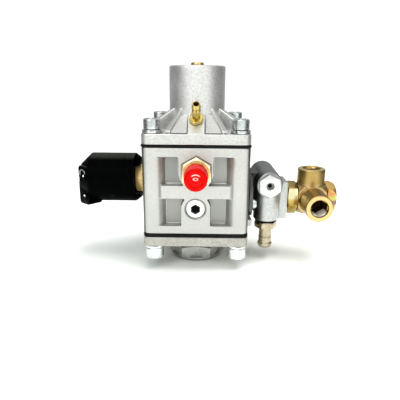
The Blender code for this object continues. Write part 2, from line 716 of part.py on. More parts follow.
def side_manifold():
    gas_passage = [(0, 40), (4.2, 40), (4.2, 63), (6.4, 63), (6.4, 80), (0, 80)]
    manifold = union(
        cyl(BARREL_R, -27.0, BARREL_FRONT, 40, BARREL),
        cyl(BARREL_R, WATER_Z, BARREL_Z - 1.0, 40, WATER),
        box(BARREL_X + 4, EAR_X, -13.0, 13.0, 37.0, 71.6),      # inlet ear
        box(45.0, BARREL_X, -11, 11, 43.0, 76.0),               # neck
        prism(MANIFOLD_FLANGE, FLANGE_X0, FLANGE_X1, (RIGHT, (0, 0, 0))))
    return cut(manifold,
               cyl(7.6, -22, 26, 28, BARREL),
               cyl(5.2, 30, 62, 22, WATER),
               lathe(gas_passage, 22, INLET),
               manifold_holes(2.9, 40, 50))


def manifold_gasket():
    plate = prism(MANIFOLD_FLANGE, SEAT, MANIFOLD_GASKET_X, (RIGHT, (0, 0, 0)))
    return cut(plate, cyl(4.6, 40, 45, 20, INLET), manifold_holes(3.0, 40, 45))


def manifold_screw(y):
    frame = (RIGHT, (0, y, INLET_Z))
    head_x = FLANGE_X1 + GAP
    profile = [(0, 33), (2.2, 33), (2.2, head_x), (4.0, head_x), (4.0, 49.5),
               (3.6, 49.9), (0, 49.9)]
    return cut(lathe(profile, 18, frame), prism(hexagon(3.5), 48.2, 52, frame))


def filter_plug():
    rim = BARREL_FRONT + GAP
    profile = [(0, 14), (7.2, 14), (7.2, rim), (10.5, rim), (10.5, 25.3), (9.9, 25.6), (0, 25.6)]
    plug = union(lathe(profile, 32, BARREL),
                 hex_head(17.0, 24.6, 28.6, 0.4, BARREL, math.pi / 2, both_ends=False))
    return cut(plug, prism(hexagon(5.0, 0.5), 25.4, 30, BARREL))


def water_barb():
    barb = [(0, 10.6), (4.6, 10.6), (5.3, 11.2), (6.3, 13.6), (6.3, 14.8),
            (5.45, 15.8), (5.45, 31), (0, 31)]
    body = union(hex_head(17.0, 28.8, BARB_HEX_TOP, 0.6, WATER, 0.05),
                 cyl(4.9, 30, 46, 22, WATER),
                 lathe(barb, 24, WATER))
    return cut(body, cyl(3.6, 5, 50, 20, WATER))


def barb_seal():
    return ring(5.3, 9.4, BARB_HEX_TOP + GAP, WATER_Z - GAP, 28, WATER)


def add_manifold():
    add("side_manifold", side_manifold(), "cast")
    add("manifold_gasket", manifold_gasket(), "rubber")
    add("manifold_screw_front", manifold_screw(-MANIFOLD_BOLT), "zinc")
    add("manifold_screw_rear", manifold_screw(MANIFOLD_BOLT), "zinc")
    add("filter_plug", filter_plug(), "alu")
    add("filter_element", ring(4.6, 6.2, -20.5, 13.5, 20, BARREL), "brass_pale")
    add("water_hose_barb", water_barb(), "brass_pale")
    add("barb_seal", barb_seal(), "rubber")


# ---- inlet -----------------------------------------------------------------
CROSS_HALF = 12.0               # half side of the cross in x
INLET_HEX = 25.0                # across flats, union and plug


def inlet_union():
    hex_end = CROSS_X - CROSS_HALF - GAP
    body = union(
        hex_head(INLET_HEX, EAR_X + GAP, hex_end, 0.8, INLET, math.radians(15)),
        cyl(6.1, 66, 80, 24, INLET),
        cyl(6.1, 85, 92.5, 24, INLET))
    return cut(body, cyl(3.4, 60, 100, 18, INLET))


def inlet_cross():
    """Block with through bore in x and ports at the top and front."""
    half_y, half_z = CROSS_HALF - 0.4, CROSS_HALF - 0.3
    across, upward, forward = [(axis, CROSS_CENTRE) for axis in (RIGHT, UP, FRONT)]
    top_boss = [(0, -2), (11.75, -2), (11.75, 25.5), (11.2, 26.1), (0, 26.1)]
    front_boss = [(0, -2), (11.2, -2), (11.2, 34.8), (10.7, 35.4), (0, 35.4)]
    through = [(0, -20), (6.4, -20), (6.4, -4.5), (3.5, -4.5),
               (3.5, 1.5), (6.4, 1.5), (6.4, 20), (0, 20)]
    top_port = [(0, 0), (3.5, 0), (3.5, 10), (7.4, 10.5), (7.4, 24.6), (8.4, 27), (0, 27)]
    front_port = [(0, 0), (3.5, 0), (3.5, 14), (7.3, 14.5), (7.3, 33.9), (8.3, 36.4), (0, 36.4)]
    block = box(CROSS_X - CROSS_HALF, CROSS_X + CROSS_HALF, -half_y, half_y,
                INLET_Z - half_z, INLET_Z + half_z)
    block = union(block, lathe(top_boss, 36, upward), lathe(front_boss, 36, forward))
    return cut(block,
               lathe(through, 24, across),
               lathe(top_port, 26, upward),
               lathe(front_port, 26, forward))


def cross_plug():
    face = CROSS_X + CROSS_HALF + GAP
    head = hex_head(INLET_HEX, face, face + 8.2, 1.2, INLET, math.radians(20))
    return union(head, cyl(6.1, CROSS_X + 2.5, face + 2, 24, INLET))


def add_inlet():
    add("inlet_union", inlet_union(), "brass")
    add("inlet_cross", inlet_cross(), "brass")
    add("cross_plug", cross_plug(), "yellow_zinc")


# ---- build -----------------------------------------------------------------
for old in list(bpy.data.objects):
    bpy.data.objects.remove(old)

add_housing()
add_fasteners()
add_pressure_setting()
add_main_valve()
add_nipple_and_outlet()
add_relief_valve()
add_solenoid()
add_manifold()
add_inlet()
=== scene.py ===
"""Looks of the water-heated gas pressure reducer with its solenoid shut-off valve.

The square body stands upright on the Z axis, with its base plug at z = 0 and its front towards -Y.
The outlet and the relief plug are in front, the solenoid coil on the left (-X), and the water
manifold, the inlet union and its cross on the right (+X). Shapes are given in millimetres and
become metres in new_mesh; lengths inside materials are metres.
"""
from contextlib import contextmanager
from itertools import product
import json
import math

import bmesh
import bpy
from mathutils import Matrix, Vector


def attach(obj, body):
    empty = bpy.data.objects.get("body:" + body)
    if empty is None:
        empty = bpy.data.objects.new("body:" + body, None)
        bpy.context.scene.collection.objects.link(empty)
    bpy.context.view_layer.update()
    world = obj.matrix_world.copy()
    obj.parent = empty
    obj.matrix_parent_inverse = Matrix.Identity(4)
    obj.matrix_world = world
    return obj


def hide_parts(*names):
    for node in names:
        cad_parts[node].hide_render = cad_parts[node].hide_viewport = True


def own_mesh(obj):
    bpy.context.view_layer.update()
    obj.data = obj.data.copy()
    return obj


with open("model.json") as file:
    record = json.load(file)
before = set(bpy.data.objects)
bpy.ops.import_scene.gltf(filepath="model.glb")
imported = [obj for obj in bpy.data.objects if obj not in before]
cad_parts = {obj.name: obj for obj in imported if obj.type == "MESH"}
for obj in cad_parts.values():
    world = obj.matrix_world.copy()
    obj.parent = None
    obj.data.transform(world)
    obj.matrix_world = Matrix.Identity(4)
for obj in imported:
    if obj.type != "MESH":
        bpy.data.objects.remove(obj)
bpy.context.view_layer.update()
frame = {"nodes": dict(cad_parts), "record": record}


MM = 0.001

# ---- driving dimensions, millimetres, the same as the frame's ------------------
GAP = 0.3               # clearance between stacked pieces
FLANGE = 84.0           # side of the square body
HALF = FLANGE / 2
CORNER_R = 5.5
BOLT = 34.0             # bolts stand at +-BOLT in x and y
BOLT_HOLE_R = 4.25
POCKET = 7.0            # depth of the pockets in the body's sides
COLUMN_C, COLUMN_R = 33.0, 9.0
# stack from the bottom up: lower and upper face of each layer
PLUG_TOP = 12.5
COLLAR_Z0 = 14.3
BOTTOM_Z0, BOTTOM_Z1 = 21.2, 29.1               # bottom cover
LOWER_Z0, LOWER_Z1 = BOTTOM_Z1 + GAP, 31.9      # bottom gasket
BODY_Z0, BODY_Z1 = LOWER_Z1 + GAP, 101.5
UPPER_Z0, UPPER_Z1 = BODY_Z1 + GAP, 103.25      # top gasket
COVER_Z0, COVER_Z1 = UPPER_Z1 + GAP, 111.8      # top cover
TOWER_TOP = COVER_Z1 + 50.0
TOWER_R = 22.8
SCREW_R = 3.9
TOP_HEAD = (6.5, 8.0)                           # radius and height
BOTTOM_HEAD = (7.6, 9.2)
TOP_WASHER_R, TOP_WASHER_T = 7.6, 2.2
BOTTOM_WASHER_R, BOTTOM_WASHER_T = 7.9, 2.0
COIL_Z = 69.0
INLET_Z = 52.2
OUTLET = (0.3, 82.1)                            # x and z of fittings that run along Y
RELIEF = (-0.2, 53.0)
BARREL = (60.0, 68.5)
BARREL_R = 11.0
WATER_R = 11.0
CROSS = (99.3, INLET_Z)
CROSS_H = 12.0                                  # half the cross's cube
SOCKET_DROP = 0.5                               # relief plug's socket below its centre
RELIEF_FACE, FILTER_FACE = 41.0, 28.6           # front faces of the plugs, towards -Y

# Orientations: where a piece's own Z (its height) points.
ALONG_Z = Matrix.Identity(3)
ALONG_X = Matrix(((0, 0, 1), (1, 0, 0), (0, 1, 0)))
ALONG_Y = Matrix(((1, 0, 0), (0, 0, -1), (0, 1, 0)))    # towards the front, -Y
NIPPLE_AXIS = Matrix(((1, 0, 0), (0, 0.70710678, -0.70710678), (0, 0.70710678, 0.70710678)))
# the connector's height points back along the coil's left front-to-rear diagonal
CONN_NORMAL = Vector((-1, -1, 0)).normalized()
CONN_SIDE = Vector((1, -1, 0)).normalized()
CONN_AXIS = Matrix(((CONN_SIDE.x, 0, CONN_NORMAL.x), (CONN_SIDE.y, 0, CONN_NORMAL.y), (0, -1, 0)))

# Lines that pieces are turned on: orientation and origin.
COIL_LINE = (ALONG_X, (0, 0, COIL_Z))
INLET_LINE = (ALONG_X, (0, 0, INLET_Z))
OUTLET_LINE = (ALONG_Y, (OUTLET[0], 0, OUTLET[1]))
RELIEF_LINE = (ALONG_Y, (RELIEF[0], 0, RELIEF[1]))
BARREL_LINE = (ALONG_Y, (BARREL[0], 0, BARREL[1]))
WATER_LINE = (ALONG_Z, (60.0, -12.6, 0))
NIPPLE_LINE = (NIPPLE_AXIS, (0.0, -32.7, COVER_Z1 + 9.56))
CONN_C = (-91.4, -11.4, 64.4)
CONN_LINE = (CONN_AXIS, CONN_C)
CROSS_C = (CROSS[0], 0, CROSS[1])

CORNERS = {"front_left": (-1, -1), "front_right": (1, -1), "rear_right": (1, 1), "rear_left": (-1, 1)}


# ---- mesh helpers ---------------------------------------------------------------
@contextmanager
def editing(mesh, *sources):
    """A bmesh of the sources, or of the mesh itself, written to the mesh at the end."""
    work = bmesh.new()
    for source in sources or [mesh]:
        work.from_mesh(source)
    yield work
    work.to_mesh(mesh)
    work.free()


def new_mesh(verts, faces):
    mesh = bpy.data.meshes.new("tmp")
    mesh.from_pydata([Vector(v) * MM for v in verts], [], faces)
    with editing(mesh) as work:
        bmesh.ops.recalc_face_normals(work, faces=work.faces)
    return mesh


def place(verts, axis, origin):
    shift = Vector(origin)
    return [axis @ Vector(v) + shift for v in verts]


def prism(points, low, high, axis=ALONG_Z, origin=(0, 0, 0)):
    n = len(points)
    verts = [(x, y, z) for z in (low, high) for x, y in points]
    faces = [list(range(n))[::-1], list(range(n, 2 * n))]
    faces += [[i, (i + 1) % n, n + (i + 1) % n, n + i] for i in range(n)]
    return new_mesh(place(verts, axis, origin), faces)


def capped(profile):
    """Runs a profile's ends straight in to the axis where they stop short of it."""
    first, last = profile[0], profile[-1]
    start = [(0, first[1])] if first[0] > 0 else []
    end = [(0, last[1])] if last[0] > 0 else []
    return start + list(profile) + end


def lathe(profile, segs=64, axis=ALONG_Z, origin=(0, 0, 0), closed=False):
    """Turned solid from (radius, height) pairs; a closed profile is a ring's section."""
    rings, verts = [], []
    for radius, height in profile if closed else capped(profile):
        if radius < 1e-6:
            rings.append([len(verts)])
            verts.append((0, 0, height))
            continue
        rings.append([len(verts) + i for i in range(segs)])
        for i in range(segs):
            angle = 2 * math.pi * i / segs
            verts.append((radius * math.cos(angle), radius * math.sin(angle), height))
    faces = []
    pairs = list(zip(rings, rings[1:]))
    if closed:
        pairs.append((rings[-1], rings[0]))
    for lower, upper in pairs:
        for i in range(segs):
            j = (i + 1) % segs
            if len(lower) == 1:
                faces.append([lower[0], upper[i], upper[j]])
            elif len(upper) == 1:
                faces.append([lower[i], lower[j], upper[0]])
            else:
                faces.append([lower[i], lower[j], upper[j], upper[i]])
    return new_mesh(place(verts, axis, origin), faces)


def soft(profile, radius=0.3, steps=3, closed=False):
    """Rounds a profile's corners with small arcs."""
    points = [Vector(p) for p in (profile if closed else capped(profile))]
    n = len(points)
    rounded = []
    for i, corner in enumerate(points):
        if not closed and i in (0, n - 1):
            rounded.append(tuple(corner))
            continue
        back, ahead = points[(i - 1) % n] - corner, points[(i + 1) % n] - corner
        back_len, ahead_len = back.length, ahead.length
        back, ahead = back / back_len, ahead / ahead_len
        angle = math.acos(max(-1.0, min(1.0, back.dot(ahead))))
        if angle > math.radians(168):
            rounded.append(tuple(corner))
            continue
        trim = min(radius / math.tan(angle / 2), 0.45 * back_len, 0.45 * ahead_len)
        start, end = corner + back * trim, corner + ahead * trim
        for k in range(steps + 1):
            t = k / steps
            rounded.append(tuple(start * (1 - t) ** 2 + corner * 2 * t * (1 - t) + end * t * t))
    return rounded


def turned(profile, radius=0.3, segs=72, axis=ALONG_Z, origin=(0, 0, 0), closed=False, steps=3):
    """Turned solid with softened corners."""
    rounded = soft(profile, radius, steps, closed)
    return lathe(rounded, segs, axis, origin, closed)


def cylinder(radius, low, high, segs=48, axis=ALONG_Z, origin=(0, 0, 0)):
    return lathe([(radius, low), (radius, high)], segs, axis, origin)


def ring(inner, outer, low, high, radius, segs=64, axis=ALONG_Z, origin=(0, 0, 0)):
    section = [(inner, low), (outer, low), (outer, high), (inner, high)]
    return turned(section, radius, segs, axis, origin, closed=True)


def hexagon(across, turn=0.0):
    """Hexagon from its width across the flats."""
    radius = across / 2 / math.cos(math.pi / 6)
    angles = [turn + 2 * math.pi * i / 6 for i in range(6)]
    return [(radius * math.cos(a), radius * math.sin(a)) for a in angles]


def arc(x, y, radius, start, end, steps):
    angles = [math.radians(start + (end - start) * i / steps) for i in range(steps + 1)]
    return [(x + radius * math.cos(a), y + radius * math.sin(a)) for a in angles]


def slab(levels, radius, steps=8):
    """Upright block with rounded corners, through levels of (height, side)."""
    verts = []
    for z, side in levels:
        centre = side / 2 - radius
        for k, (sx, sy) in enumerate(((1, 1), (-1, 1), (-1, -1), (1, -1))):
            for i in range(steps + 1):
                a = math.pi / 2 * (k + i / steps)
                x, y = sx * centre + radius * math.cos(a), sy * centre + radius * math.sin(a)
                verts.append((x, y, z))
    n = 4 * (steps + 1)
    faces = [list(range(n))[::-1], [(len(levels) - 1) * n + i for i in range(n)]]
    for k in range(len(levels) - 1):
        for i in range(n):
            j = (i + 1) % n
            faces.append([k * n + i, k * n + j, (k + 1) * n + j, (k + 1) * n + i])
    return new_mesh(verts, faces)


def box(x0, x1, y0, y1, z0, z1):
    return prism([(x0, y0), (x1, y0), (x1, y1), (x0, y1)], z0, z1)


def join(*meshes):
    joined = bpy.data.meshes.new("tmp")
    with editing(joined, *meshes):
        pass
    return joined


def at_corners(spacing, radius, low, high, segs=28):
    """Four upright cylinders at +-spacing."""
    return join(*[cylinder(radius, low, high, segs, ALONG_Z, (sx * spacing, sy * spacing, 0))
                  for sx, sy in CORNERS.values()])


def rotated(mesh, angle, axis="Z"):
    mesh.transform(Matrix.Rotation(angle, 4, axis))
    return mesh


def linked(name, data):
    obj = bpy.data.objects.new(name, data)
    bpy.context.scene.collection.objects.link(obj)
    return obj


def baked(obj):
    """The object's evaluated mesh; the object itself is removed."""
    bpy.context.view_layer.update()
    result = bpy.data.meshes.new_from_object(
        obj.evaluated_get(bpy.context.evaluated_depsgraph_get()))
    bpy.data.objects.remove(obj)
    return result


def evaluated(mesh, *modifiers):
    """The mesh after modifiers given as (type, {settings})."""
    obj = linked("work", mesh)
    for kind, settings in modifiers:
        modifier = obj.modifiers.new(kind, kind)
        for key, value in settings.items():
            setattr(modifier, key, value)
    return baked(obj)


def boolean(base, tool, operation):
    obj = linked("tool", tool)
    settings = {"operation": operation, "solver": "EXACT", "object": obj}
    result = evaluated(base, ("BOOLEAN", settings))
    bpy.data.objects.remove(obj)
    return result


def union(base, *tools):
    for tool in tools:
        base = boolean(base, tool, "UNION")
    return base


def cut(base, *tools):
    for tool in tools:
        base = boolean(base, tool, "DIFFERENCE")
    return base


def common(base, tool):
    return boolean(base, tool, "INTERSECT")


def cast(mesh, voxel, smooth, keep):
    """Casting skin: dense even mesh whose edges and inner corners are rounded off."""
    modifiers = [("REMESH", {"mode": "VOXEL", "voxel_size": voxel * MM, "adaptivity": 0.0}),
                 ("SMOOTH", {"factor": 0.5, "iterations": smooth})]
    modifiers.append(("DECIMATE", {"ratio": keep}))
    return evaluated(mesh, *modifiers)


def eased(mesh, width, segments=2, angle=32):
    """Breaks the sharp edges of a machined piece."""
    clean = bpy.data.meshes.new("tmp")
    with editing(clean, mesh) as work:
        bmesh.ops.remove_doubles(work, verts=work.verts, dist=0.000004)
        bmesh.ops.dissolve_limit(work, angle_limit=math.radians(0.4),
                                 verts=work.verts, edges=work.edges)
    return evaluated(clean, ("BEVEL", {
        "width": width * MM, "segments": segments, "limit_method": "ANGLE",
        "angle_limit": math.radians(angle), "use_clamp_overlap": True, "miter_outer": "MITER_ARC"}))


def hex_head(across, low, high, axis=ALONG_Z, origin=(0, 0, 0), turn=0.0, slope=0.55,
             both=True, segs=96, flat=None):
    """Hexagon with its corners turned off; the chamfer runs out in arcs on the flats."""
    corner = across / math.sqrt(3) + 0.5
    flat = flat or across / 2 - 0.15
    drop = (corner - flat) * slope
    if both:
        profile = [(flat, low - 0.5), (flat, low), (corner, low + drop)]
    else:
        profile = [(corner, low - 0.5)]
    profile += [(corner, high - drop), (flat, high), (flat, high + 0.5)]
    return common(prism(hexagon(across, turn), low, high, axis, origin),
                  lathe(profile, segs, axis, origin))


def thread_profile(radius, low, high, pitch, depth):
    """Profile points of V grooves up a shank; a negative depth makes ridges."""
    points = []
    for i in range(int((high - low) / pitch)):
        z = low + i * pitch
        points += [(radius, z + 0.15), (radius - depth, z + pitch * 0.5), (radius, z + (pitch - 0.15))]
    return points


def coil_spring(radius, wire, low, high, turns, axis=ALONG_Z, origin=(0, 0, 0)):
    """Round wire along a helix whose end turns lie closed and flat."""
    around = 10             # points around the wire
    ease = 0.11             # share of the length over which the pitch builds up
    steps = int(turns * 28)
    start, end = low + wire, high - wire
    verts, faces = [], []
    for i in range(steps + 1):
        t = i / steps
        if t < ease:
            rise = 0.5 * (t / ease) ** 2 * ease
        elif t < 1 - ease:
            rise = t - ease / 2
        else:
            rise = 1 - ease - 0.5 * ((1 - t) / ease) ** 2 * ease
        rise = rise / (1 - ease)
        angle = 2 * math.pi * turns * t
        centre = Vector((radius * math.cos(angle), radius * math.sin(angle),
                         start + (end - start) * min(max(rise, 0.0), 1.0)))
        out = Vector((math.cos(angle), math.sin(angle), 0))
        along = Vector((-math.sin(angle) * radius * 2 * math.pi * turns,
                        math.cos(angle) * radius * 2 * math.pi * turns, end - start)).normalized()
        up = out.cross(along) * -1
        for k in range(around):
            b = 2 * math.pi * k / around
            verts.append(centre + (out * math.cos(b) + up * math.sin(b)) * wire)
    for i in range(steps):
        for k in range(around):
            j = (k + 1) % around
            faces.append([i * around + k, i * around + j, (i + 1) * around + j, (i + 1) * around + k])
    faces.append(list(range(around))[::-1])
    faces.append([steps * around + k for k in range(around)])
    return new_mesh(place(verts, axis, origin), faces)


BODY_OF = {n: b for b, nodes in frame["record"]["behaviour"]["bodies"].items() for n in nodes}


def piece(node, mesh, material, angle=32):
    """A finished piece that stands for a CAD node and rides on its body."""
    with editing(mesh) as work:
        bmesh.ops.remove_doubles(work, verts=work.verts, dist=0.000001)
        bmesh.ops.dissolve_degenerate(work, dist=0.000001, edges=work.edges)
        loose = [v for v in work.verts if not v.link_faces]
        bmesh.ops.delete(work, geom=loose, context="VERTS")
    mesh.name = "fine_" + node
    mesh.shade_smooth()
    mesh.set_sharp_from_angle(angle=math.radians(angle))
    obj = linked("fine_" + node, mesh)
    mesh.materials.clear()
    mesh.materials.append(material)
    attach(obj, BODY_OF[node])
    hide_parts(node)
    return obj


# ---- shader helpers -----------------------------------------------------------------
class Wire:
    """A shader output; arithmetic on it makes Math nodes."""

    def __init__(self, graph, socket):
        self.graph, self.socket = graph, socket

    def __add__(self, other):
        return self.graph.math("ADD", self, other)

    def __sub__(self, other):
        return self.graph.math("SUBTRACT", self, other)

    def __rsub__(self, other):
        return self.graph.math("SUBTRACT", other, self)

    def __mul__(self, other):
        return self.graph.math("MULTIPLY", self, other)

    def __abs__(self):
        return self.graph.math("ABSOLUTE", self)

    def max(self, other):
        return self.graph.math("MAXIMUM", self, other)

    def min(self, other):
        return self.graph.math("MINIMUM", self, other)

    def span(self, start, end, low=0.0, high=1.0):
        """Goes smoothly from low to high as this value goes from start to end."""
        return self.graph.value("ShaderNodeMapRange", "Result", {
            "Value": self, "From Min": start, "From Max": end, "To Min": low, "To Max": high,
        }, interpolation_type="SMOOTHSTEP")


def distance(a, b):
    return a.graph.math("SQRT", a * a + b * b)


class Graph:
    """A node tree with short calls."""

    def __init__(self, tree):
        self.tree = tree
        tree.nodes.clear()

    def put(self, socket, value):
        if isinstance(value, Wire):
            self.tree.links.new(value.socket, socket)
        else:
            socket.default_value = (*value, 1) if socket.type == "RGBA" else value

    def node(self, kind, inputs={}, **settings):
        node = self.tree.nodes.new(kind)
        for key, value in settings.items():
            setattr(node, key, value)
        for key, value in inputs.items():
            self.put(node.inputs[key], value)
        return node

    def value(self, kind, output, inputs={}, **settings):
        return Wire(self, self.node(kind, inputs, **settings).outputs[output])

    def math(self, operation, a, b=0.0):
        return self.value("ShaderNodeMath", 0, {0: a, 1: b}, operation=operation)


class Material(Graph):
    """A Principled material; `color` is the base colour built up so far."""

    def __init__(self, name, rough, metallic=0.0):
        self.made = bpy.data.materials.new(name)
        self.made.use_nodes = True
        super().__init__(self.made.node_tree)
        self.shader = self.node("ShaderNodeBsdfPrincipled",
                                {"Metallic": metallic, "Roughness": rough})
        self.node("ShaderNodeOutputMaterial", {"Surface": Wire(self, self.shader.outputs["BSDF"])})
        self.coords = self.value("ShaderNodeTexCoord", "Object")
        self.geometry = self.node("ShaderNodeNewGeometry")
        self.color = self.normal = None

    def set(self, key, value):
        self.put(self.shader.inputs[key], value)

    def at(self, axis):
        """One object coordinate, in metres."""
        return self.value("ShaderNodeSeparateXYZ", axis, {0: self.coords})

    def facing(self, axis):
        """One component of the surface normal."""
        normal = Wire(self, self.geometry.outputs["Normal"])
        return self.value("ShaderNodeSeparateXYZ", axis, {0: normal})

    def noise(self, scale, detail=3.0, rough=0.55, stretch=None, distort=0.0):
        vector = self.coords
        if stretch:
            vector = self.value("ShaderNodeMapping", "Vector", {"Vector": vector, "Scale": stretch})
        return self.value("ShaderNodeTexNoise", "Fac", {
            "Vector": vector, "Scale": scale, "Detail": detail, "Roughness": rough,
            "Distortion": distort})

    def spots(self, scale, size):
        """1 inside small random dots, 0 outside."""
        cells = self.value("ShaderNodeTexVoronoi", "Distance",
                           {"Vector": self.coords, "Scale": scale})
        return self.ramp(cells, (0.0, (1, 1, 1)), (size, (0, 0, 0)))

    def ramp(self, value, *stops):
        """Maps a number through (place, colour) stops."""
        node = self.node("ShaderNodeValToRGB", {"Fac": value})
        elements = node.color_ramp.elements
        while len(elements) < len(stops):
            elements.new(0.5)
        for element, (position, color) in zip(elements, stops):
            element.position = position
            element.color = (*color, 1)
        return Wire(self, node.outputs["Color"])

    def mix(self, cover, under, over):
        return self.value("ShaderNodeMix", 2, {0: cover, 6: under, 7: over}, data_type="RGBA")

    def lay(self, cover, color):
        """Lays a colour over the base colour where cover is 1."""
        self.color = self.mix(cover, self.color, color)

    def edge(self, start, end):
        """1 on convex edges; with end below start, 1 in concave ones."""
        return Wire(self, self.geometry.outputs["Pointiness"]).span(start, end)

    def shade(self, reach, start, end, color):
        """Puts the colour deep in corners and holes, by ambient occlusion over the reach."""
        opening = self.value("ShaderNodeAmbientOcclusion", "AO", {"Distance": reach}, samples=6)
        self.color = self.mix(opening.span(start, end), color, self.color)

    def bump(self, height, distance, strength):
        inputs = {"Distance": distance, "Strength": strength, "Height": height}
        if self.normal:
            inputs["Normal"] = self.normal
        self.normal = self.value("ShaderNodeBump", "Normal", inputs)
        self.set("Normal", self.normal)

    def finish(self, roughness):
        self.set("Base Color", self.color)
        self.set("Roughness", roughness)
        return self.made


def scaled(color, factor):
    return tuple(min(1.0, c * factor) for c in color)


# ---- kinds of finish ------------------------------------------------------------------
def cast_metal(name, light, dark, rough, grain, edge_highlight, dirt=(0.30, 0.29, 0.26), metallic=0.9,
               tone=None):
    """Rough casting. Grain scales the relief; the highlight argument scales the painted highlight on
    convex edges, and concave edges get painted shade.
    """
    m = Material(name, rough, metallic)
    cloud = m.noise(scale=55, detail=4, rough=0.6)
    grit = m.noise(scale=1500, detail=3, rough=0.6)
    fine = m.noise(scale=3800, detail=2, rough=0.5)
    mottle = m.noise(scale=820, detail=2, rough=0.6)
    m.color = m.mix(cloud.span(0.32, 0.68), dark, light)
    m.lay(grit.span(0.42, 0.7) * 0.28, scaled(dark, 0.72))
    m.lay(mottle.span(0.52, 0.34) * 0.42, scaled(dark, 0.62))
    m.lay(mottle.span(0.50, 0.68) * 0.40, scaled(light, 1.12))
    pits = m.spots(scale=260, size=0.13) * m.noise(scale=70, detail=2).span(0.5, 0.62)
    m.lay(pits * 0.55, dirt)
    edge = m.edge(0.505, 0.57)
    # painted highlight on the convex edges
    m.lay(edge * edge_highlight, (0.93, 0.93, 0.91))
    # painted shade in the concave edges and creases
    m.lay(m.edge(0.497, 0.44) * 0.45, scaled(dark, 0.45))
    if tone:
        tone(m)
    m.shade(0.0022, 0.12, 0.80, scaled(dark, 0.20))
    m.bump(m.noise(scale=420, detail=3), distance=0.00006 * grain, strength=0.5)
    m.bump(mottle, distance=0.00012 * grain, strength=0.6)
    m.bump(grit, distance=0.00006 * grain, strength=0.8)
    m.bump(fine, distance=0.00003 * grain, strength=0.7)
    m.bump(pits, distance=-0.00012, strength=0.8)
    return m.finish(cloud.span(0.3, 0.7, rough - 0.05, rough + 0.07) + edge * -0.12)


def turned_metal(name, light, dark, axis, rough, lines, tone=None):
    """Machined metal: fine lines across the axis, light smears and tiny nicks."""
    m = Material(name, rough, metallic=1.0)
    stretch = tuple(1 if a == axis else 0.02 for a in "XYZ")
    tool_marks = m.noise(scale=5200, detail=2, rough=0.5, stretch=stretch)
    smear = m.noise(scale=120, detail=4, rough=0.6)
    m.color = m.mix(smear.span(0.3, 0.72), dark, light)
    m.lay(tool_marks.span(0.35, 0.65) * (0.25 * lines), scaled(dark, 0.6))
    nicks = m.spots(scale=650, size=0.12) * m.noise(scale=90).span(0.52, 0.64)
    m.lay(nicks * 0.25, scaled(dark, 0.4))
    # painted highlight on the convex edges
    m.lay(m.edge(0.51, 0.6) * 0.4, scaled(light, 1.25))
    if tone:
        tone(m)
    m.shade(0.0026, 0.12, 0.66, scaled(dark, 0.10))
    m.bump(tool_marks, distance=0.00005 * lines, strength=0.6)
    m.bump(m.noise(scale=900, detail=3), distance=0.00002, strength=0.5)
    return m.finish((smear + tool_marks * 0.3).span(0.35, 0.95, rough - 0.07, rough + 0.12))


def rubber(name, color=(0.003, 0.003, 0.0032), rough=0.55):
    m = Material(name, rough)
    cloud = m.noise(scale=180, detail=4, rough=0.6)
    m.color = m.mix(cloud.span(0.35, 0.7), color, tuple(v * 2.6 + 0.004 for v in color))
    m.lay(m.spots(scale=900, size=0.12) * 0.06, (0.25, 0.25, 0.24))
    m.set("Specular IOR Level", 0.12)
    m.bump(m.noise(scale=1600, detail=3), distance=0.00004, strength=0.6)
    return m.finish(cloud.span(0.3, 0.7, rough - 0.1, rough + 0.12))


def black_plastic():
    m = Material("coil_plastic", 0.34)
    cloud = m.noise(scale=60, detail=4, rough=0.6)
    streak = m.noise(scale=900, detail=2, rough=0.5, stretch=(1, 0.06, 0.06))
    m.color = m.mix(cloud.span(0.35, 0.7), (0.0002, 0.0003, 0.0003), (0.0007, 0.0011, 0.0010))
    m.lay(streak.span(0.5, 0.75) * 0.4, (0.004, 0.0055, 0.005))
    # painted highlight on the convex edges
    m.lay(m.edge(0.51, 0.6) * 0.5, (0.035, 0.038, 0.036))
    # faces turned up are greyer, as painted light from above
    m.lay(m.facing("Z").span(0.80, 0.97) * streak.span(0.25, 0.6, 0.7, 1.0), (0.042, 0.045, 0.038))
    m.set("Specular IOR Level", 0.010)
    m.bump(m.noise(scale=2600, detail=2), distance=0.00003, strength=0.6)
    m.bump(streak, distance=0.00003, strength=0.4)
    return m.finish(cloud.span(0.3, 0.7, 0.34, 0.46) + streak * 0.05)


def from_centre(x, z, centre):
    """Offsets from a point given in millimetres."""
    return x - centre[0] * MM, z - centre[1] * MM


# painted shade in the rings on the cap's end: radii where the dark rings rise, are full, start to fade
# and end; strength
CAP_RING_SHADE = ((0.0026, 0.0029, 0.0034, 0.0037, 0.40), (0.0047, 0.0050, 0.0056, 0.0060, 0.45),
             (0.0070, 0.0074, 0.0084, 0.0087, 0.25))


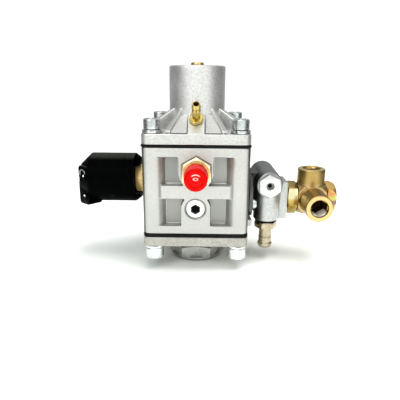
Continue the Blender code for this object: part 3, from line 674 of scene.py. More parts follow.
def red_plastic():
    m = Material("cap_plastic", 0.2)
    cloud = m.noise(scale=130, detail=3, rough=0.5)
    m.color = m.mix(cloud.span(0.3, 0.7), (0.74, 0.0, 0.0), (0.86, 0.0, 0.0))
    m.lay(m.spots(scale=800, size=0.1) * 0.10, (0.9, 0.05, 0.04))
    # moulded rings on the end: painted shade in the grooves, a painted highlight arc above the middle
    x, y, z = map(m.at, "XYZ")
    dx, dz = from_centre(x, z, OUTLET)
    radius = distance(dx, dz)
    end = y.span(-0.0655, -0.0660)
    for rise, full, fade, gone, strength in CAP_RING_SHADE:
        band = radius.span(rise, full) * radius.span(gone, fade)
        m.lay(band * end * strength, (0.34, 0.0, 0.0))
    # painted highlight: an arc above the middle and a ring round the nub
    glint = radius.span(0.0037, 0.0039) * radius.span(0.0046, 0.0043) * dz.span(0.0026, 0.0034)
    oval = distance(dx, (dz - 0.0012) * 1.9)
    eye = oval.span(0.0011, 0.0014) * oval.span(0.0022, 0.0018)
    eye = eye * dx.span(0.0019, 0.0006, 0.6, 1.0)
    m.lay(glint.max(eye) * end * 0.85, (1.0, 0.86, 0.78))
    m.set("Subsurface Weight", 0.04)
    m.set("Subsurface Radius", (0.004, 0.0008, 0.0006))
    m.set("Subsurface Scale", 0.5)
    m.set("Specular IOR Level", 0.06)
    m.set("Coat Weight", 0.04)
    m.set("Coat Roughness", 0.05)
    m.bump(m.noise(scale=1400, detail=2), distance=0.00003, strength=0.5)
    m.bump(m.noise(scale=260, detail=2), distance=0.00004, strength=0.4)
    return m.finish(m.noise(scale=300, detail=3).span(0.3, 0.7, 0.2, 0.34))


def zinc_plate():
    rough = 0.17
    m = Material("zinc_plate", rough, metallic=1.0)
    cloud = m.noise(scale=240, detail=4, rough=0.6)
    spangle = m.noise(scale=900, detail=3, rough=0.6)
    m.color = m.mix(cloud.span(0.3, 0.7), (0.58, 0.63, 0.62), (0.84, 0.88, 0.87))
    m.lay(spangle.span(0.5, 0.72) * 0.35, (0.93, 0.96, 0.94))
    # painted shade in the concave edges
    m.lay(m.edge(0.497, 0.45) * 0.7, (0.06, 0.07, 0.07))
    nicks = m.spots(scale=700, size=0.12) * m.noise(scale=160).span(0.5, 0.6)
    m.lay(nicks * 0.4, (0.10, 0.11, 0.11))
    m.shade(0.0024, 0.10, 0.55, (0.015, 0.018, 0.018))
    m.bump(spangle, distance=0.00001, strength=0.35)
    upright = m.noise(scale=900, detail=2, rough=0.5, stretch=(1, 1, 0.05))
    m.bump(upright, distance=0.000015, strength=0.4)
    return m.finish(spangle.span(0.3, 0.7, rough - 0.06, rough + 0.14))


# hue number and colour of the passivation
PASSIVATION = (
    (0.16, (0.80, 0.62, 0.22)), (0.26, (0.86, 0.42, 0.12)), (0.36, (0.86, 0.44, 0.20)),
    (0.45, (0.74, 0.70, 0.14)), (0.53, (0.80, 0.66, 0.22)), (0.60, (0.34, 0.20, 0.13)),
    (0.68, (0.32, 0.19, 0.22)), (0.78, (0.60, 0.54, 0.14)), (0.90, (0.66, 0.40, 0.16)))


def yellow_zinc():
    """Passivated plating with patches of orange, yellow, green and violet."""
    m = Material("yellow_zinc", 0.24, metallic=1.0)
    swirl = m.noise(scale=70, detail=2, rough=0.5, stretch=(0.5, 1, 1), distort=0.6)
    m.color = m.ramp(swirl * 0.55 + m.at("Z").span(0.064, 0.040, 0.0, 0.50), *PASSIVATION)
    m.lay(m.noise(scale=1100).span(0.5, 0.7) * 0.2, (0.95, 0.85, 0.55))
    m.bump(m.noise(scale=900, detail=3), distance=0.00004, strength=0.5)
    return m.finish(m.noise(scale=420, detail=3).span(0.3, 0.7, 0.18, 0.34))


def sintered():
    m = Material("sintered_bronze", 0.55, metallic=0.8)
    grain = m.spots(scale=900, size=0.55)
    m.color = m.mix(grain, (0.22, 0.15, 0.07), (0.62, 0.44, 0.22))
    m.bump(grain, distance=0.0002, strength=0.9)
    return m.finish(0.55)


# ---- tones: colour that depends on the place on a piece (metres) --------------------------
def manifold_tone(m):
    """The turned upper barrel is ringed and darker, a painted reflection; the left end is nearly
    black, a painted shadow.
    """
    x, z = map(m.at, "XZ")
    high = z.span(0.060, 0.068) * x.span(0.0735, 0.0705)
    rings = m.noise(scale=1500, detail=1, rough=0.4, stretch=(0.01, 1, 0.01))
    m.bump(rings * high, distance=0.0001, strength=0.7)
    # painted reflection: the upper barrel darker
    m.lay(high * 0.85, (0.17, 0.185, 0.175))
    m.lay(high * rings.span(0.48, 0.62) * 0.55, (0.40, 0.42, 0.40))
    # painted shadow: the left end nearly black
    m.lay(x.span(0.0565, 0.0515) * 0.85, (0.035, 0.038, 0.036))


def cast_tone(m):
    """Faint handling marks, and colour darker and slightly warmer towards the bottom."""
    z = m.at("Z")
    m.lay(z.span(0.128, 0.088) * 0.70, (0.52, 0.52, 0.49))
    m.lay(z.span(0.066, 0.040) * 0.35, (0.40, 0.40, 0.375))
    scratch = m.noise(scale=240, detail=2, rough=0.5, stretch=(1.0, 1.0, 0.10), distort=1.5)
    m.lay(scratch.span(0.69, 0.76) * 0.08, (0.34, 0.34, 0.32))


def pocket_tone(m):
    """The floors of the casting pockets are darker; painted shadow darkens the upper-left pocket
    floors more.
    """
    cast_tone(m)
    x, y, z = map(m.at, "XYZ")
    nx, ny, nz = map(m.facing, "XYZ")
    floor_y, floor_x = [
        abs(a).span(0.0366, 0.0354) * abs(a).span(0.0335, 0.0343) * abs(n).span(0.90, 0.985)
        for a, n in ((y, ny), (x, nx))]
    # painted shadow on the upper-left pocket floors
    upper_left = x.span(0.004, -0.012) * z.span(0.066, 0.078)
    m.lay(floor_y.max(floor_x) * (upper_left * 0.14 + 0.70), (0.25, 0.255, 0.24))
    # walls of the front pockets: painted shade where they face sideways or down
    side = abs(x)
    wall = y.span(-0.04208, -0.04198) * y.span(-0.0352, -0.0358)
    depth = side.span(0.0240, 0.0235).max(
        side.span(0.0246, 0.0290) * side.span(0.0362, 0.0350, 0.0, 0.62))
    away = abs(nx).span(0.30, 0.62).max(nz.span(-0.30, -0.62))
    m.lay(wall * depth * away * 0.88, (0.055, 0.058, 0.052))
    # countersink round the relief plug, with painted shade on it and darker painted lines at its edges
    radius = distance(*from_centre(x, z, RELIEF))
    sunk = radius.span(0.0089, 0.0086) * radius.span(0.0070, 0.0072) * y.span(-0.0385, -0.0395)
    line = abs(radius - 0.0086).span(0.0004, 0.0001).max(radius.span(0.0076, 0.0073))
    m.lay(sunk * 0.80, m.mix(line, (0.40, 0.41, 0.39), (0.06, 0.06, 0.055)))
    # shadow line round the outlet hexagon
    dx, dz = from_centre(x, z, OUTLET)
    half_x, slant_z = dx * 0.5, dz * 0.8660254
    reach = abs(dx).max(abs(half_x + slant_z).max(abs(half_x - slant_z)))
    m.lay(reach.span(0.0123, 0.0115) * y.span(-0.0400, -0.0410) * 0.75, (0.10, 0.085, 0.06))
    # rounded upright corners are dark: painted shade
    m.lay(abs(nx).span(0.22, 0.70) * abs(x).span(0.0395, 0.0405) * 0.95, (0.13, 0.135, 0.12))


def cover_tone(m):
    """Rib tops are greyer than the panels, a painted shade; painted shade lines where panels and pad
    meet the flange.
    """
    cast_tone(m)
    x, y, z = map(m.at, "XYZ")
    ax, ay = abs(x), abs(y)
    far, near = ax.max(ay), ax.min(ay)
    panel = (0.0404 - far) * 0.555 + 0.1127
    rib = (z - panel).span(0.0009, 0.0015) * near.span(0.0085, 0.0100)
    outside = distance(x, y).span(0.0232, 0.0240)
    # painted shade on the rib tops
    m.lay(rib * outside * m.facing("Z").span(0.70, 0.80) * 0.55, (0.36, 0.36, 0.34))
    # painted shade lines at the foot of the panels and beside the pad
    foot = abs(z - 0.1121).span(0.0007, 0.0003) * far.span(0.0398, 0.0403)
    foot = foot * (far.span(0.0416, 0.0412) * near.span(0.0235, 0.0225))
    pad = ax.span(0.0074, 0.0069) * ax.span(0.0062, 0.0065) * y.span(-0.016, -0.018)
    pad = pad * (z.span(0.1118, 0.1122) * z.span(0.1225, 0.1195))
    m.lay(foot.max(pad) * 0.85, (0.05, 0.05, 0.045))


def socket_tone(centre, face, radius, rim=0.0):
    """The socket of a plug is unlit; only its lower wall catches light."""
    def tone(m):
        x, y, z = map(m.at, "XYZ")
        out = distance(*from_centre(x, z, centre))
        inside = out.span(radius + 0.0002, radius - 0.0002) * y.span(face + 0.0002, face + 0.0006)
        lit = m.facing("Z").span(0.3, 0.7, 1.0, 0.55)
        if rim:
            # painted shade: a dark ring round the rim
            edge = y.span(face + 0.0021, face + 0.0025) * out.span(rim - 0.0003, rim)
            m.lay(edge * 0.8, (0.20, 0.205, 0.20))
            # the wide lead-in of this socket gets grey painted shade, only its middle is dark
            m.lay(inside * 0.9, (0.26, 0.265, 0.25))
            inside = inside * out.span(0.0021, 0.0016)
        m.lay(inside * lit, (0.004, 0.004, 0.004))
    return tone


def union_tone(m):
    """A painted highlight band at middle height, with painted shade in bronze below it and darker
    above it.
    """
    z = m.at("Z")
    m.lay(z.span(0.0515, 0.0470) * 0.85, (0.38, 0.25, 0.05))
    m.lay(z.span(0.0520, 0.0545) * z.span(0.0640, 0.0610) * 0.9, (1.0, 0.94, 0.58))
    m.lay(z.span(0.0615, 0.0635) * 0.8, (0.28, 0.20, 0.05))


def outlet_tone(m):
    """Pale chamfer, a painted reflection; warmer turned face, brass tinted by painted reflection of
    the red cap.
    """
    x, y, z = map(m.at, "XYZ")
    radius = distance(*from_centre(x, z, OUTLET))
    face = y.span(-0.0459, -0.0461) * radius.span(0.0105, 0.0102)
    chamfer = y.span(-0.0440, -0.0448) * radius.span(0.0103, 0.0106)
    # painted reflection on the chamfer
    m.lay(chamfer * 0.75, (1.0, 0.93, 0.70))
    # brass face tinted and mottled by painted reflection of the red cap
    cap_reflection_mottle = m.noise(scale=520, detail=3, rough=0.6).span(0.42, 0.62)
    m.lay(face * 0.85, m.mix(cap_reflection_mottle, (0.66, 0.36, 0.13), (0.88, 0.50, 0.22)))


def base_nut_tone(m):
    """Painted light makes the nut's front bright, with a browner part below."""
    x, y, z = map(m.at, "XYZ")
    front = y.span(-0.0050, -0.0085) * x.span(-0.0525, -0.0519)
    tint = m.mix(z.span(0.0780, 0.0765), (1.0, 0.82, 0.42), (0.80, 0.56, 0.22))
    # less metallic under the painted light
    m.set("Metallic", 1.0 - front * 0.7)
    m.lay(front * 0.9, tint)


def cross_tone(m):
    """Turned ports are darker than the forged middle, and the port faces are freshly cut."""
    x, y, z = map(m.at, "XYZ")
    ny, nz = map(m.facing, "YZ")
    front = y.span(-0.0128, -0.0138)
    top = z.span(0.0655, 0.0665)
    front_lines = m.noise(scale=2600, detail=1, rough=0.4, stretch=(0.01, 1, 0.01))
    top_lines = m.noise(scale=2600, detail=1, rough=0.4, stretch=(0.01, 0.01, 1))
    m.bump(front_lines * front, distance=0.00008, strength=0.7)
    m.bump(top_lines * top, distance=0.00005, strength=0.5)
    m.lay(front * 0.75, (0.25, 0.155, 0.042))
    m.lay(front * front_lines.span(0.5, 0.7) * 0.4, (0.56, 0.38, 0.13))
    m.lay(top * 0.55, (0.46, 0.31, 0.09))
    m.lay((1.0 - front) * (1.0 - top) * 0.35, (0.66, 0.48, 0.24))
    m.lay(y.span(-0.0345, -0.0350) * ny.span(-0.80, -0.95) * 0.95, (0.84, 0.56, 0.24))
    m.lay(z.span(0.0772, 0.0777) * nz.span(0.6, 0.9) * 0.8, (0.92, 0.74, 0.38))
    # inside of the front port: lower flats lit, the rest brown, the drilling dark
    radius = distance(*from_centre(x, z, CROSS))
    inside = radius.span(0.00765, 0.00745) * y.span(-0.0342, -0.0336)
    lit = nz.span(0.25, 0.5) * y.span(-0.0222, -0.0235)
    shade = m.mix(lit, (0.42, 0.25, 0.08), (1.0, 0.98, 0.84))
    shade = m.mix(y.span(-0.0190, -0.0130), shade, (0.010, 0.007, 0.003))
    m.set("Metallic", 1.0 - inside * lit * 0.85)
    m.lay(inside * 0.95, shade)


# ---- materials: name, light colour, dark colour --------------------------------------------
CAST_BODY = cast_metal("cast_body", (0.84, 0.84, 0.82), (0.74, 0.74, 0.715),
                       rough=0.44, grain=1.0, edge_highlight=0.7, tone=pocket_tone)
CAST_COVER = cast_metal("cast_cover", (0.84, 0.84, 0.82), (0.75, 0.75, 0.725),
                        rough=0.43, grain=1.0, edge_highlight=1.0, tone=cover_tone)
CAST_BOTTOM = cast_metal("cast_bottom", (0.475, 0.46, 0.42), (0.385, 0.37, 0.335),
                         rough=0.40, grain=0.9, edge_highlight=0.5)
CAST_MANIFOLD = cast_metal("cast_manifold", (0.60, 0.61, 0.60), (0.50, 0.51, 0.50),
                           rough=0.38, grain=0.6, edge_highlight=0.6, tone=manifold_tone)
DARK_ALLOY = cast_metal("dark_alloy", (0.40, 0.40, 0.385), (0.30, 0.30, 0.285),
                        rough=0.36, grain=0.7, edge_highlight=0.5)
RELIEF_ALLOY = turned_metal(
    "relief_alloy", (0.95, 0.95, 0.94), (0.88, 0.88, 0.87), "Y", rough=0.32, lines=0.5,
    tone=socket_tone((RELIEF[0], RELIEF[1] - SOCKET_DROP), face=-RELIEF_FACE * MM, radius=0.0044))
FILTER_ALLOY = turned_metal(
    "filter_alloy", (0.93, 0.93, 0.92), (0.84, 0.84, 0.83), "Y", rough=0.30, lines=0.5,
    tone=socket_tone(BARREL, face=-FILTER_FACE * MM, radius=0.0036, rim=0.0080))
ALLOY_Z = turned_metal("turned_alloy", (0.82, 0.82, 0.81), (0.68, 0.68, 0.67), "Z",
                       rough=0.3, lines=0.8)
STEEL = turned_metal("spring_steel", (0.50, 0.51, 0.52), (0.34, 0.35, 0.36), "Z",
                     rough=0.3, lines=0.6)
STEEL_X = turned_metal("drawn_steel", (0.62, 0.62, 0.62), (0.46, 0.46, 0.46), "X",
                       rough=0.26, lines=0.7)
BRASS_X = turned_metal("brass_union", (0.96, 0.74, 0.26), (0.80, 0.55, 0.14), "X",
                       rough=0.2, lines=0.6, tone=union_tone)
BRASS_Y = turned_metal("brass_outlet", (0.90, 0.62, 0.22), (0.74, 0.44, 0.12), "Y",
                       rough=0.24, lines=0.6, tone=outlet_tone)
BRASS_Z = turned_metal("brass_screw", (0.86, 0.66, 0.30), (0.66, 0.46, 0.17), "Z",
                       rough=0.26, lines=0.8)
BRASS_BASE = turned_metal("brass_base", (0.98, 0.76, 0.32), (0.84, 0.58, 0.18), "X",
                          rough=0.24, lines=0.5, tone=base_nut_tone)
BRASS_NIPPLE = turned_metal("brass_nipple", (0.70, 0.55, 0.17), (0.40, 0.28, 0.07), "Z",
                            rough=0.2, lines=0.7)
BRASS_CROSS = cast_metal("brass_cross", (0.60, 0.43, 0.17), (0.46, 0.31, 0.10), rough=0.34,
                         grain=0.5, edge_highlight=0.35, dirt=(0.22, 0.14, 0.05), metallic=1.0,
                         tone=cross_tone)
NICKEL_BRASS = turned_metal("nickel_brass", (0.62, 0.54, 0.40), (0.38, 0.31, 0.20), "Z",
                            rough=0.26, lines=0.9)
ZINC = zinc_plate()
ZINC_Y = yellow_zinc()
RUBBER = rubber("gasket_rubber")
FIBRE = rubber("gasket_fibre", color=(0.02, 0.02, 0.019), rough=0.7)
BLACK = black_plastic()
RED = red_plastic()
BRONZE = sintered()


# ---- castings. Profiles are (radius, height) --------------------------------------------------
MANIFOLD_SCREWS = (-22, 22)     # y of the screws that hold the manifold


def pocket_outlines():
    """Half outlines of the side pockets, (across, z): front, plain and slim."""
    low, high, rib_low, rib_high = BODY_Z0 + 6.7, BODY_Z0 + 61.9, BODY_Z0 + 29.0, BODY_Z0 + 39.7
    relief_x, relief_z = RELIEF
    outlet_x, outlet_z = OUTLET
    relief_r, outlet_r = 11.6, 14.0     # bosses that the front pockets go round
    relief_end = 180 - math.degrees(math.asin((rib_low - relief_z) / relief_r))
    outlet_start = 180 + math.degrees(math.asin((outlet_z - rib_high) / outlet_r))
    front = [(-COLUMN_C, low), (relief_x - relief_r, low),
             *arc(relief_x, relief_z, relief_r, 180, relief_end, 16),
             (-27.0, rib_low), (-27.0, rib_high),
             *arc(outlet_x, outlet_z, outlet_r, outlet_start, 180, 16),
             (outlet_x - outlet_r, high), (-COLUMN_C, high)]
    plain = [(-COLUMN_C, low), (-15.0, low), (-15.0, rib_low), (-27.0, rib_low),
             (-27.0, rib_high), (-15.0, rib_high), (-15.0, high), (-COLUMN_C, high)]
    slim = [(-COLUMN_C, low), (-28.5, low), (-28.5, high), (-COLUMN_C, high)]
    return front, plain, slim


def body_block():
    body = slab([(BODY_Z0, FLANGE - 0.5), (BODY_Z0 + 0.3, FLANGE),
                 (BODY_Z1 - 0.3, FLANGE), (BODY_Z1, FLANGE - 0.5)], CORNER_R)
    front, plain, slim = pocket_outlines()
    cutters = []
    for quarter, outline in enumerate((front, slim, plain, plain)):
        for side in (1, -1):
            points = [(side * x, z) for x, z in outline][::side]
            pocket = prism(points, HALF - POCKET, HALF + 1.0, ALONG_Y)
            cutters.append(rotated(pocket, quarter * math.pi / 2))
    # the corner columns stay whole
    body = cut(body, cut(join(*cutters), at_corners(COLUMN_C, COLUMN_R, 30, 110, 72)))
    lug_z = BODY_Z0 + 7.4
    lug = [(HALF - 3, BODY_Z0 + 1.8), (HALF + 4.6, BODY_Z0 + 1.8), (HALF + 4.6, BODY_Z0 + 6.2),
           (HALF + 3.4, lug_z), (HALF - 3, lug_z)]
    body = union(body, prism(lug, 9, 27, ALONG_Y))
    bore = [(26, 30), (26, 58), (24, 60), (8, 60), (8, 76), (22, 76), (24, 78), (24, 104)]
    relief = [(3.5, 20), (3.5, 30), (7.45, 30), (7.45, RELIEF_FACE), (8.5, 42.2), (8.5, 43)]
    blind = [(5.2, -45), (5.2, -41.9), (4.1, -40.8), (4.1, -33)]    # two holes in the rear
    return cut(
        body, lathe(bore, 72),
        at_corners(BOLT, BOLT_HOLE_R, 88, 105), at_corners(BOLT, BOLT_HOLE_R, 30, 46),
        lathe([(6, 20), (6, 29.5), (9.6, 29.5), (9.6, 45)], 48, *OUTLET_LINE),
        lathe(relief, 64, *RELIEF_LINE),
        lathe([(8.4, -45), (8.4, -27), (3, -27), (3, -5)], 40, *COIL_LINE),
        cylinder(4.2, 20, 45, 28, *INLET_LINE),
        join(*[cylinder(2.6, 30, 45, 20, ALONG_X, (0, y, INLET_Z)) for y in MANIFOLD_SCREWS]),
        join(*[lathe(blind, 28, ALONG_Y, (x, 0, BODY_Z0 + 34.3)) for x in (-20, 20)]))


def cover_panel():
    """Sloping panel on the front of the top cover, between two ribs."""
    low, high = [(-21.5, -40.4), (21.5, -40.4)], [(12.0, -15.0), (-12.0, -15.0)]
    verts = [(x, y, COVER_Z1 - 1.2) for x, y in low + high]
    verts += [(x, y, COVER_Z1 + 0.9) for x, y in low] + [(x, y, COVER_Z1 + 15.0) for x, y in high]
    return new_mesh(verts, [[3, 2, 1, 0], [4, 5, 6, 7], [0, 1, 5, 4], [1, 2, 6, 5],
                            [2, 3, 7, 6], [3, 0, 4, 7]])


def cover_rib(side):
    """Rib along one edge of the front panel, from the tower out to the corner."""
    inner, outer = Vector((side * 11.5, -15.0)), Vector((side * 21.9, -40.6))
    along = (outer - inner).normalized()
    across = Vector((-along.y, along.x))
    # distance along the rib, height, half width
    stations = ((0, 17.7, 1.2), (3.6, 17.4, 1.3), ((outer - inner).length, 2.3, 2.2))
    verts = []
    for face in (-1, 1):
        for reach, height, width in stations:
            p = inner + along * reach + across * face * width
            verts += [(p.x, p.y, COVER_Z1 - 1.5), (p.x, p.y, COVER_Z1 + height)]
    return new_mesh(verts, [[0, 2, 4, 5, 3, 1], [6, 7, 9, 11, 10, 8], [0, 1, 7, 6], [1, 3, 9, 7],
                            [3, 5, 11, 9], [5, 4, 10, 11], [4, 2, 8, 10], [2, 0, 6, 8]])


def top_cover():
    flange = slab([(COVER_Z0, FLANGE - 0.5), (COVER_Z0 + 0.3, FLANGE),
                   (COVER_Z1 - 0.5, FLANGE), (COVER_Z1, FLANGE - 0.9)], CORNER_R)
    tower = lathe([(TOWER_R, COVER_Z0 + 2), (TOWER_R, TOWER_TOP - 1.3),
                   (TOWER_R - 0.35, TOWER_TOP - 0.5), (TOWER_R - 1.2, TOWER_TOP)], 120)
    slopes = []
    for quarter in range(4):
        for part in (cover_panel(), cover_rib(-1), cover_rib(1)):
            slopes.append(rotated(part, quarter * math.pi / 2))
    # pad under the nipple: (towards the front, z), extruded along X
    pad = prism([(15, COVER_Z1 - 2), (41.96, COVER_Z1 - 2), (41.96, COVER_Z1 + 0.3),
                 (29.66, COVER_Z1 + 12.6), (15, COVER_Z1 + 12.6)],
                -6.5, 6.5, Matrix(((0, 0, 1), (-1, 0, 0), (0, 1, 0))))
    bore = [(18.5, 100), (18.5, 152), (17, 153.5), (5.65, 153.5), (5.65, 161.2), (6.5, 162.2),
            (6.5, 165)]
    return cut(union(flange, tower, *slopes, pad), lathe(bore, 72),
               at_corners(BOLT, BOLT_HOLE_R, 100, 120), cylinder(3.0, -25, 3, 28, *NIPPLE_LINE))


def gasket(z0, z1, side, hole, layers=1):
    thick = (z1 - z0) / layers
    levels = []
    for k in range(layers):
        low = z0 + k * thick
        levels += [(low + (0.02 if k else 0), side - 0.34), (low + 0.18, side),
                   (low + thick - 0.18, side),
                   (low + thick - (0.02 if k < layers - 1 else 0), side - 0.34)]
    return cut(slab(levels, CORNER_R - 0.7), cylinder(hole, z0 - 1, z1 + 1, 80),
               at_corners(BOLT, 4.5, z0 - 1, z1 + 1))


def bottom_cover():
    side = FLANGE + 0.3
    cover = slab([(BOTTOM_Z0, side - 1.0), (BOTTOM_Z0 + 0.5, side), (BOTTOM_Z1 - 0.3, side),
                  (BOTTOM_Z1, side - 0.6)], CORNER_R)
    collar = [(20.4, COLLAR_Z0), (21.4, COLLAR_Z0 + 1), (21.4, BOTTOM_Z0 + 2)]
    bore = [(16.4, 10), (16.4, 25), (25, 25), (26, 26), (26, 31)]
    return cut(union(cover, lathe(collar, 100)), lathe(bore, 80),
               at_corners(BOLT, BOLT_HOLE_R, 15, 35))


def base_plug():
    head = eased(hex_head(42.0, 0.8, PLUG_TOP, slope=0.5, segs=128), 0.5, 3)
    plug = union(head, turned([(21.6, 0), (22.3, 0.7), (22.3, 2.6)], 0.45, 120),
                 lathe([(16.1, PLUG_TOP - 3), (16.1, 26.9), (15.5, 27.5)], 72))
    return cut(plug, lathe([(15.0, -1), (15.0, 0.5), (14.2, 1.0)], 72),
               cylinder(10.5, 19, 30, 56))


# ---- fasteners ----------------------------------------------------------------------
def cap_screw(radius, height):
    """Socket head screw with the underside of its head at zero."""
    end, socket = -25.0, 6.0
    screw = turned([(SCREW_R - 0.8, end), (SCREW_R, end + 0.8), (SCREW_R, -0.3),
                    (SCREW_R + 0.2, 0.0), (radius - 0.5, 0.0), (radius, 0.5),
                    (radius, height - 0.9), (radius - 0.25, height - 0.45),
                    (radius - 0.9, height), (socket * 0.60, height)], 0.22, 72)
    hole = prism(hexagon(socket, 0.4), height - 4.2, height + 1)
    floor = lathe([(0, height - 5.2), (socket * 0.47, height - 4.1),
                   (socket * 0.47, height - 4.0)], 36)
    cone = lathe([(socket * 0.5, height - 0.55), (socket * 0.64, height + 0.2),
                  (socket * 0.64, height + 1)], 72)
    return cut(screw, union(hole, floor), cone)


def lock_washer(radius, thick):
    """Spring washer with its slanted gap."""
    gap = rotated(box(3.0, radius + 1, -0.45, 0.45, -1, thick + 1), 0.5, "X")
    whole = ring(BOLT_HOLE_R, radius, 0.0, thick, 0.35, 80)
    return eased(cut(whole, gap), 0.08, 1, 50)


def adjusting_screw():
    stem = [(4.4, 146.0), (5.3, 147.0), *thread_profile(5.3, 147.4, 163.2, pitch=1.25, depth=0.5),
            (5.3, 163.3), (5.2, 163.7), (4.6, 164.3)]
    return cut(lathe(stem, 72), union(prism(hexagon(5.0, 0.3), 159.0, 166),
                                      lathe([(2.7, 163.6), (3.4, 164.6), (3.4, 166)], 48)))


def vacuum_nipple():
    head = hex_head(10.0, 0.3, 3.6, *NIPPLE_LINE, turn=math.radians(-100), slope=0.35,
                    both=False, segs=64)
    barbs = [(2.9, 3), (2.9, 10.2), (3.4, 11.2), (3.35, 11.5), (2.85, 13.7), (2.85, 14.1),
             (3.4, 15.1), (3.35, 15.4), (2.75, 18.1)]
    bore = [(1.6, -10), (1.6, 8), (2.1, 8.6), (2.1, 17.6), (2.4, 18.4)]
    nipple = union(eased(head, 0.12), cylinder(2.65, -4, 3, 32, *NIPPLE_LINE),
                   turned(barbs, 0.12, 56, *NIPPLE_LINE))
    return cut(nipple, lathe(bore, 40, *NIPPLE_LINE))


# ---- solenoid -------------------------------------------------------------------------
TERMINAL_DROP = {"upper": -8.3, "lower": 8.7}       # below the connector's centre


def terminal_line(name):
    return CONN_AXIS, (CONN_C[0], CONN_C[1], CONN_C[2] - TERMINAL_DROP[name])


def coil_body():
    coil = lathe([(11.6, -99.6), (12.6, -98.9), (20.9, -90.2), (20.9, -52.6), (17.2, -47.9),
                  (16.6, -47.6)], 96, *COIL_LINE)
    coil = cut(coil, box(-120, -40, -30, 30, COIL_Z + 20.65, COIL_Z + 30))
    connector = prism([(-8.2, -14.4), (-6.2, -16.4), (4.2, -16.4), (6.2, -14.4), (6.2, 14.4),
                       (4.8, 16.2), (-7.0, 16.8), (-8.8, 15.2)], -8, 4.9, *CONN_LINE)
    latch = prism([(-7.0, -1.6), (5.8, -1.6), (5.8, 1.4), (-7.0, 1.4)], 3.6, 5.15, *CONN_LINE)
    collars = [lathe([(4.3, 3), (4.3, 5.3), (3.9, 5.6)], 48, *terminal_line(name))
               for name in TERMINAL_DROP]
    # bore with its counterbore for the base nut, then the notch at the front
    bore = [(9.3, -105), (9.3, -93.2), (6.5, -93.2), (6.5, -52.2), (14.3, -52.2), (14.3, -45)]
    holes = [lathe([(2.7, 0.5), (2.7, 5.2), (3.3, 6.2)], 40, *terminal_line(name))
             for name in TERMINAL_DROP]
    return cut(union(coil, connector, latch, *collars), lathe(bore, 70, *COIL_LINE),
               box(-52.05, -45.5, -26, -8, COIL_Z - 11.5, COIL_Z + 12.5), *holes)


def clip_wire():
    """Bent wire clip over the upper terminal, through points in the connector's frame."""
    points = [(-4.4, -8.8, 5.5), (-4.2, -11.2, 5.6), (-2.8, -13.0, 5.6), (0.4, -13.6, 5.6),
              (2.8, -12.6, 5.6), (3.6, -10.4, 5.5)]
    curve = bpy.data.curves.new("clip", "CURVE")
    curve.dimensions = "3D"
    curve.bevel_depth = 0.32 * MM
    curve.bevel_resolution = 4
    curve.use_fill_caps = True
    spline = curve.splines.new("BEZIER")
    spline.bezier_points.add(len(points) - 1)
    for bezier, point in zip(spline.bezier_points, place(points, *CONN_LINE)):
        bezier.co = point * MM
        bezier.handle_left_type = bezier.handle_right_type = "AUTO"
    return baked(linked("clip_work", curve))


def solenoid_base():
    right = -42.3
    nut = eased(hex_head(23.4, -51.9, right, *COIL_LINE, turn=math.radians(52), slope=0.3), 0.22)
    bore = [(6.6, -55), (6.6, -32), (2.2, -32), (2.2, -25)]
    return cut(union(nut, cylinder(8.1, right - 2, -28.5, 48, *COIL_LINE)),
               lathe(bore, 48, *COIL_LINE))


def coil_nut():
    nut = eased(hex_head(14.0, -98.2, -93.5, *COIL_LINE, turn=0.2, segs=64), 0.15)
    return cut(nut, cylinder(3.3, -105, -90, 32, *COIL_LINE))


# ---- manifold -------------------------------------------------------------------------
# mounting plate and its gasket, (y, z)
PLATE = [(-27, 47), (-22, 42), (22, 42), (27, 47), (27, 68), (20, 75), (-20, 75), (-27, 68)]
MANIFOLD_LOW = 36.2         # lower end of the upright water port
BARB_HEX_TOP = 34.6


def side_manifold():
    x, z = BARREL
    barrel = [(BARREL_R - 0.8, -27.0), (BARREL_R, -26.3), (BARREL_R, 23.3), (BARREL_R - 0.7, 24.0)]
    water = [(WATER_R - 1.8, MANIFOLD_LOW), (WATER_R - 0.7, 36.7), (WATER_R, 37.8),
             (WATER_R, z - 1.0)]
    ear = [(4, 35.8), (17.3, 35.8), (18.0, 36.5), (18.0, 67.3), (17.3, 68.0), (4, 68.0)]
    manifold = union(
        lathe(barrel, 110, *BARREL_LINE), lathe(water, 110, *WATER_LINE),
        prism(ear, -13.0, 12.0, ALONG_Y, (x, 0, 0)), box(45.0, x, -11, 11, 43.0, 76.0),
        prism(PLATE, 43.4, 46.6, ALONG_X))
    return cut(
        manifold, cylinder(7.6, -22, 26, 56, *BARREL_LINE), cylinder(5.2, 30, 62, 40, *WATER_LINE),
        lathe([(4.2, 40), (4.2, 63), (6.4, 63), (6.4, 80)], 40, *INLET_LINE),
        join(*[cylinder(2.9, 40, 50, 24, ALONG_X, (0, y, INLET_Z)) for y in MANIFOLD_SCREWS]))


def manifold_gasket():
    holes = [cylinder(3.0, 40, 45, 24, ALONG_X, (0, y, INLET_Z)) for y in MANIFOLD_SCREWS]
    return eased(cut(prism(PLATE, HALF + GAP, 43.1, ALONG_X),
                     cylinder(4.6, 40, 45, 36, *INLET_LINE), join(*holes)), 0.12)


def manifold_screw(y):
    line = (ALONG_X, (0, y, INLET_Z))
    screw = turned([(2.2, 33), (2.2, 46.9), (4.0, 46.9), (4.0, 49.5), (3.5, 49.9)], 0.15, 48, *line)
    return cut(screw, prism(hexagon(3.5), 48.2, 52, *line))


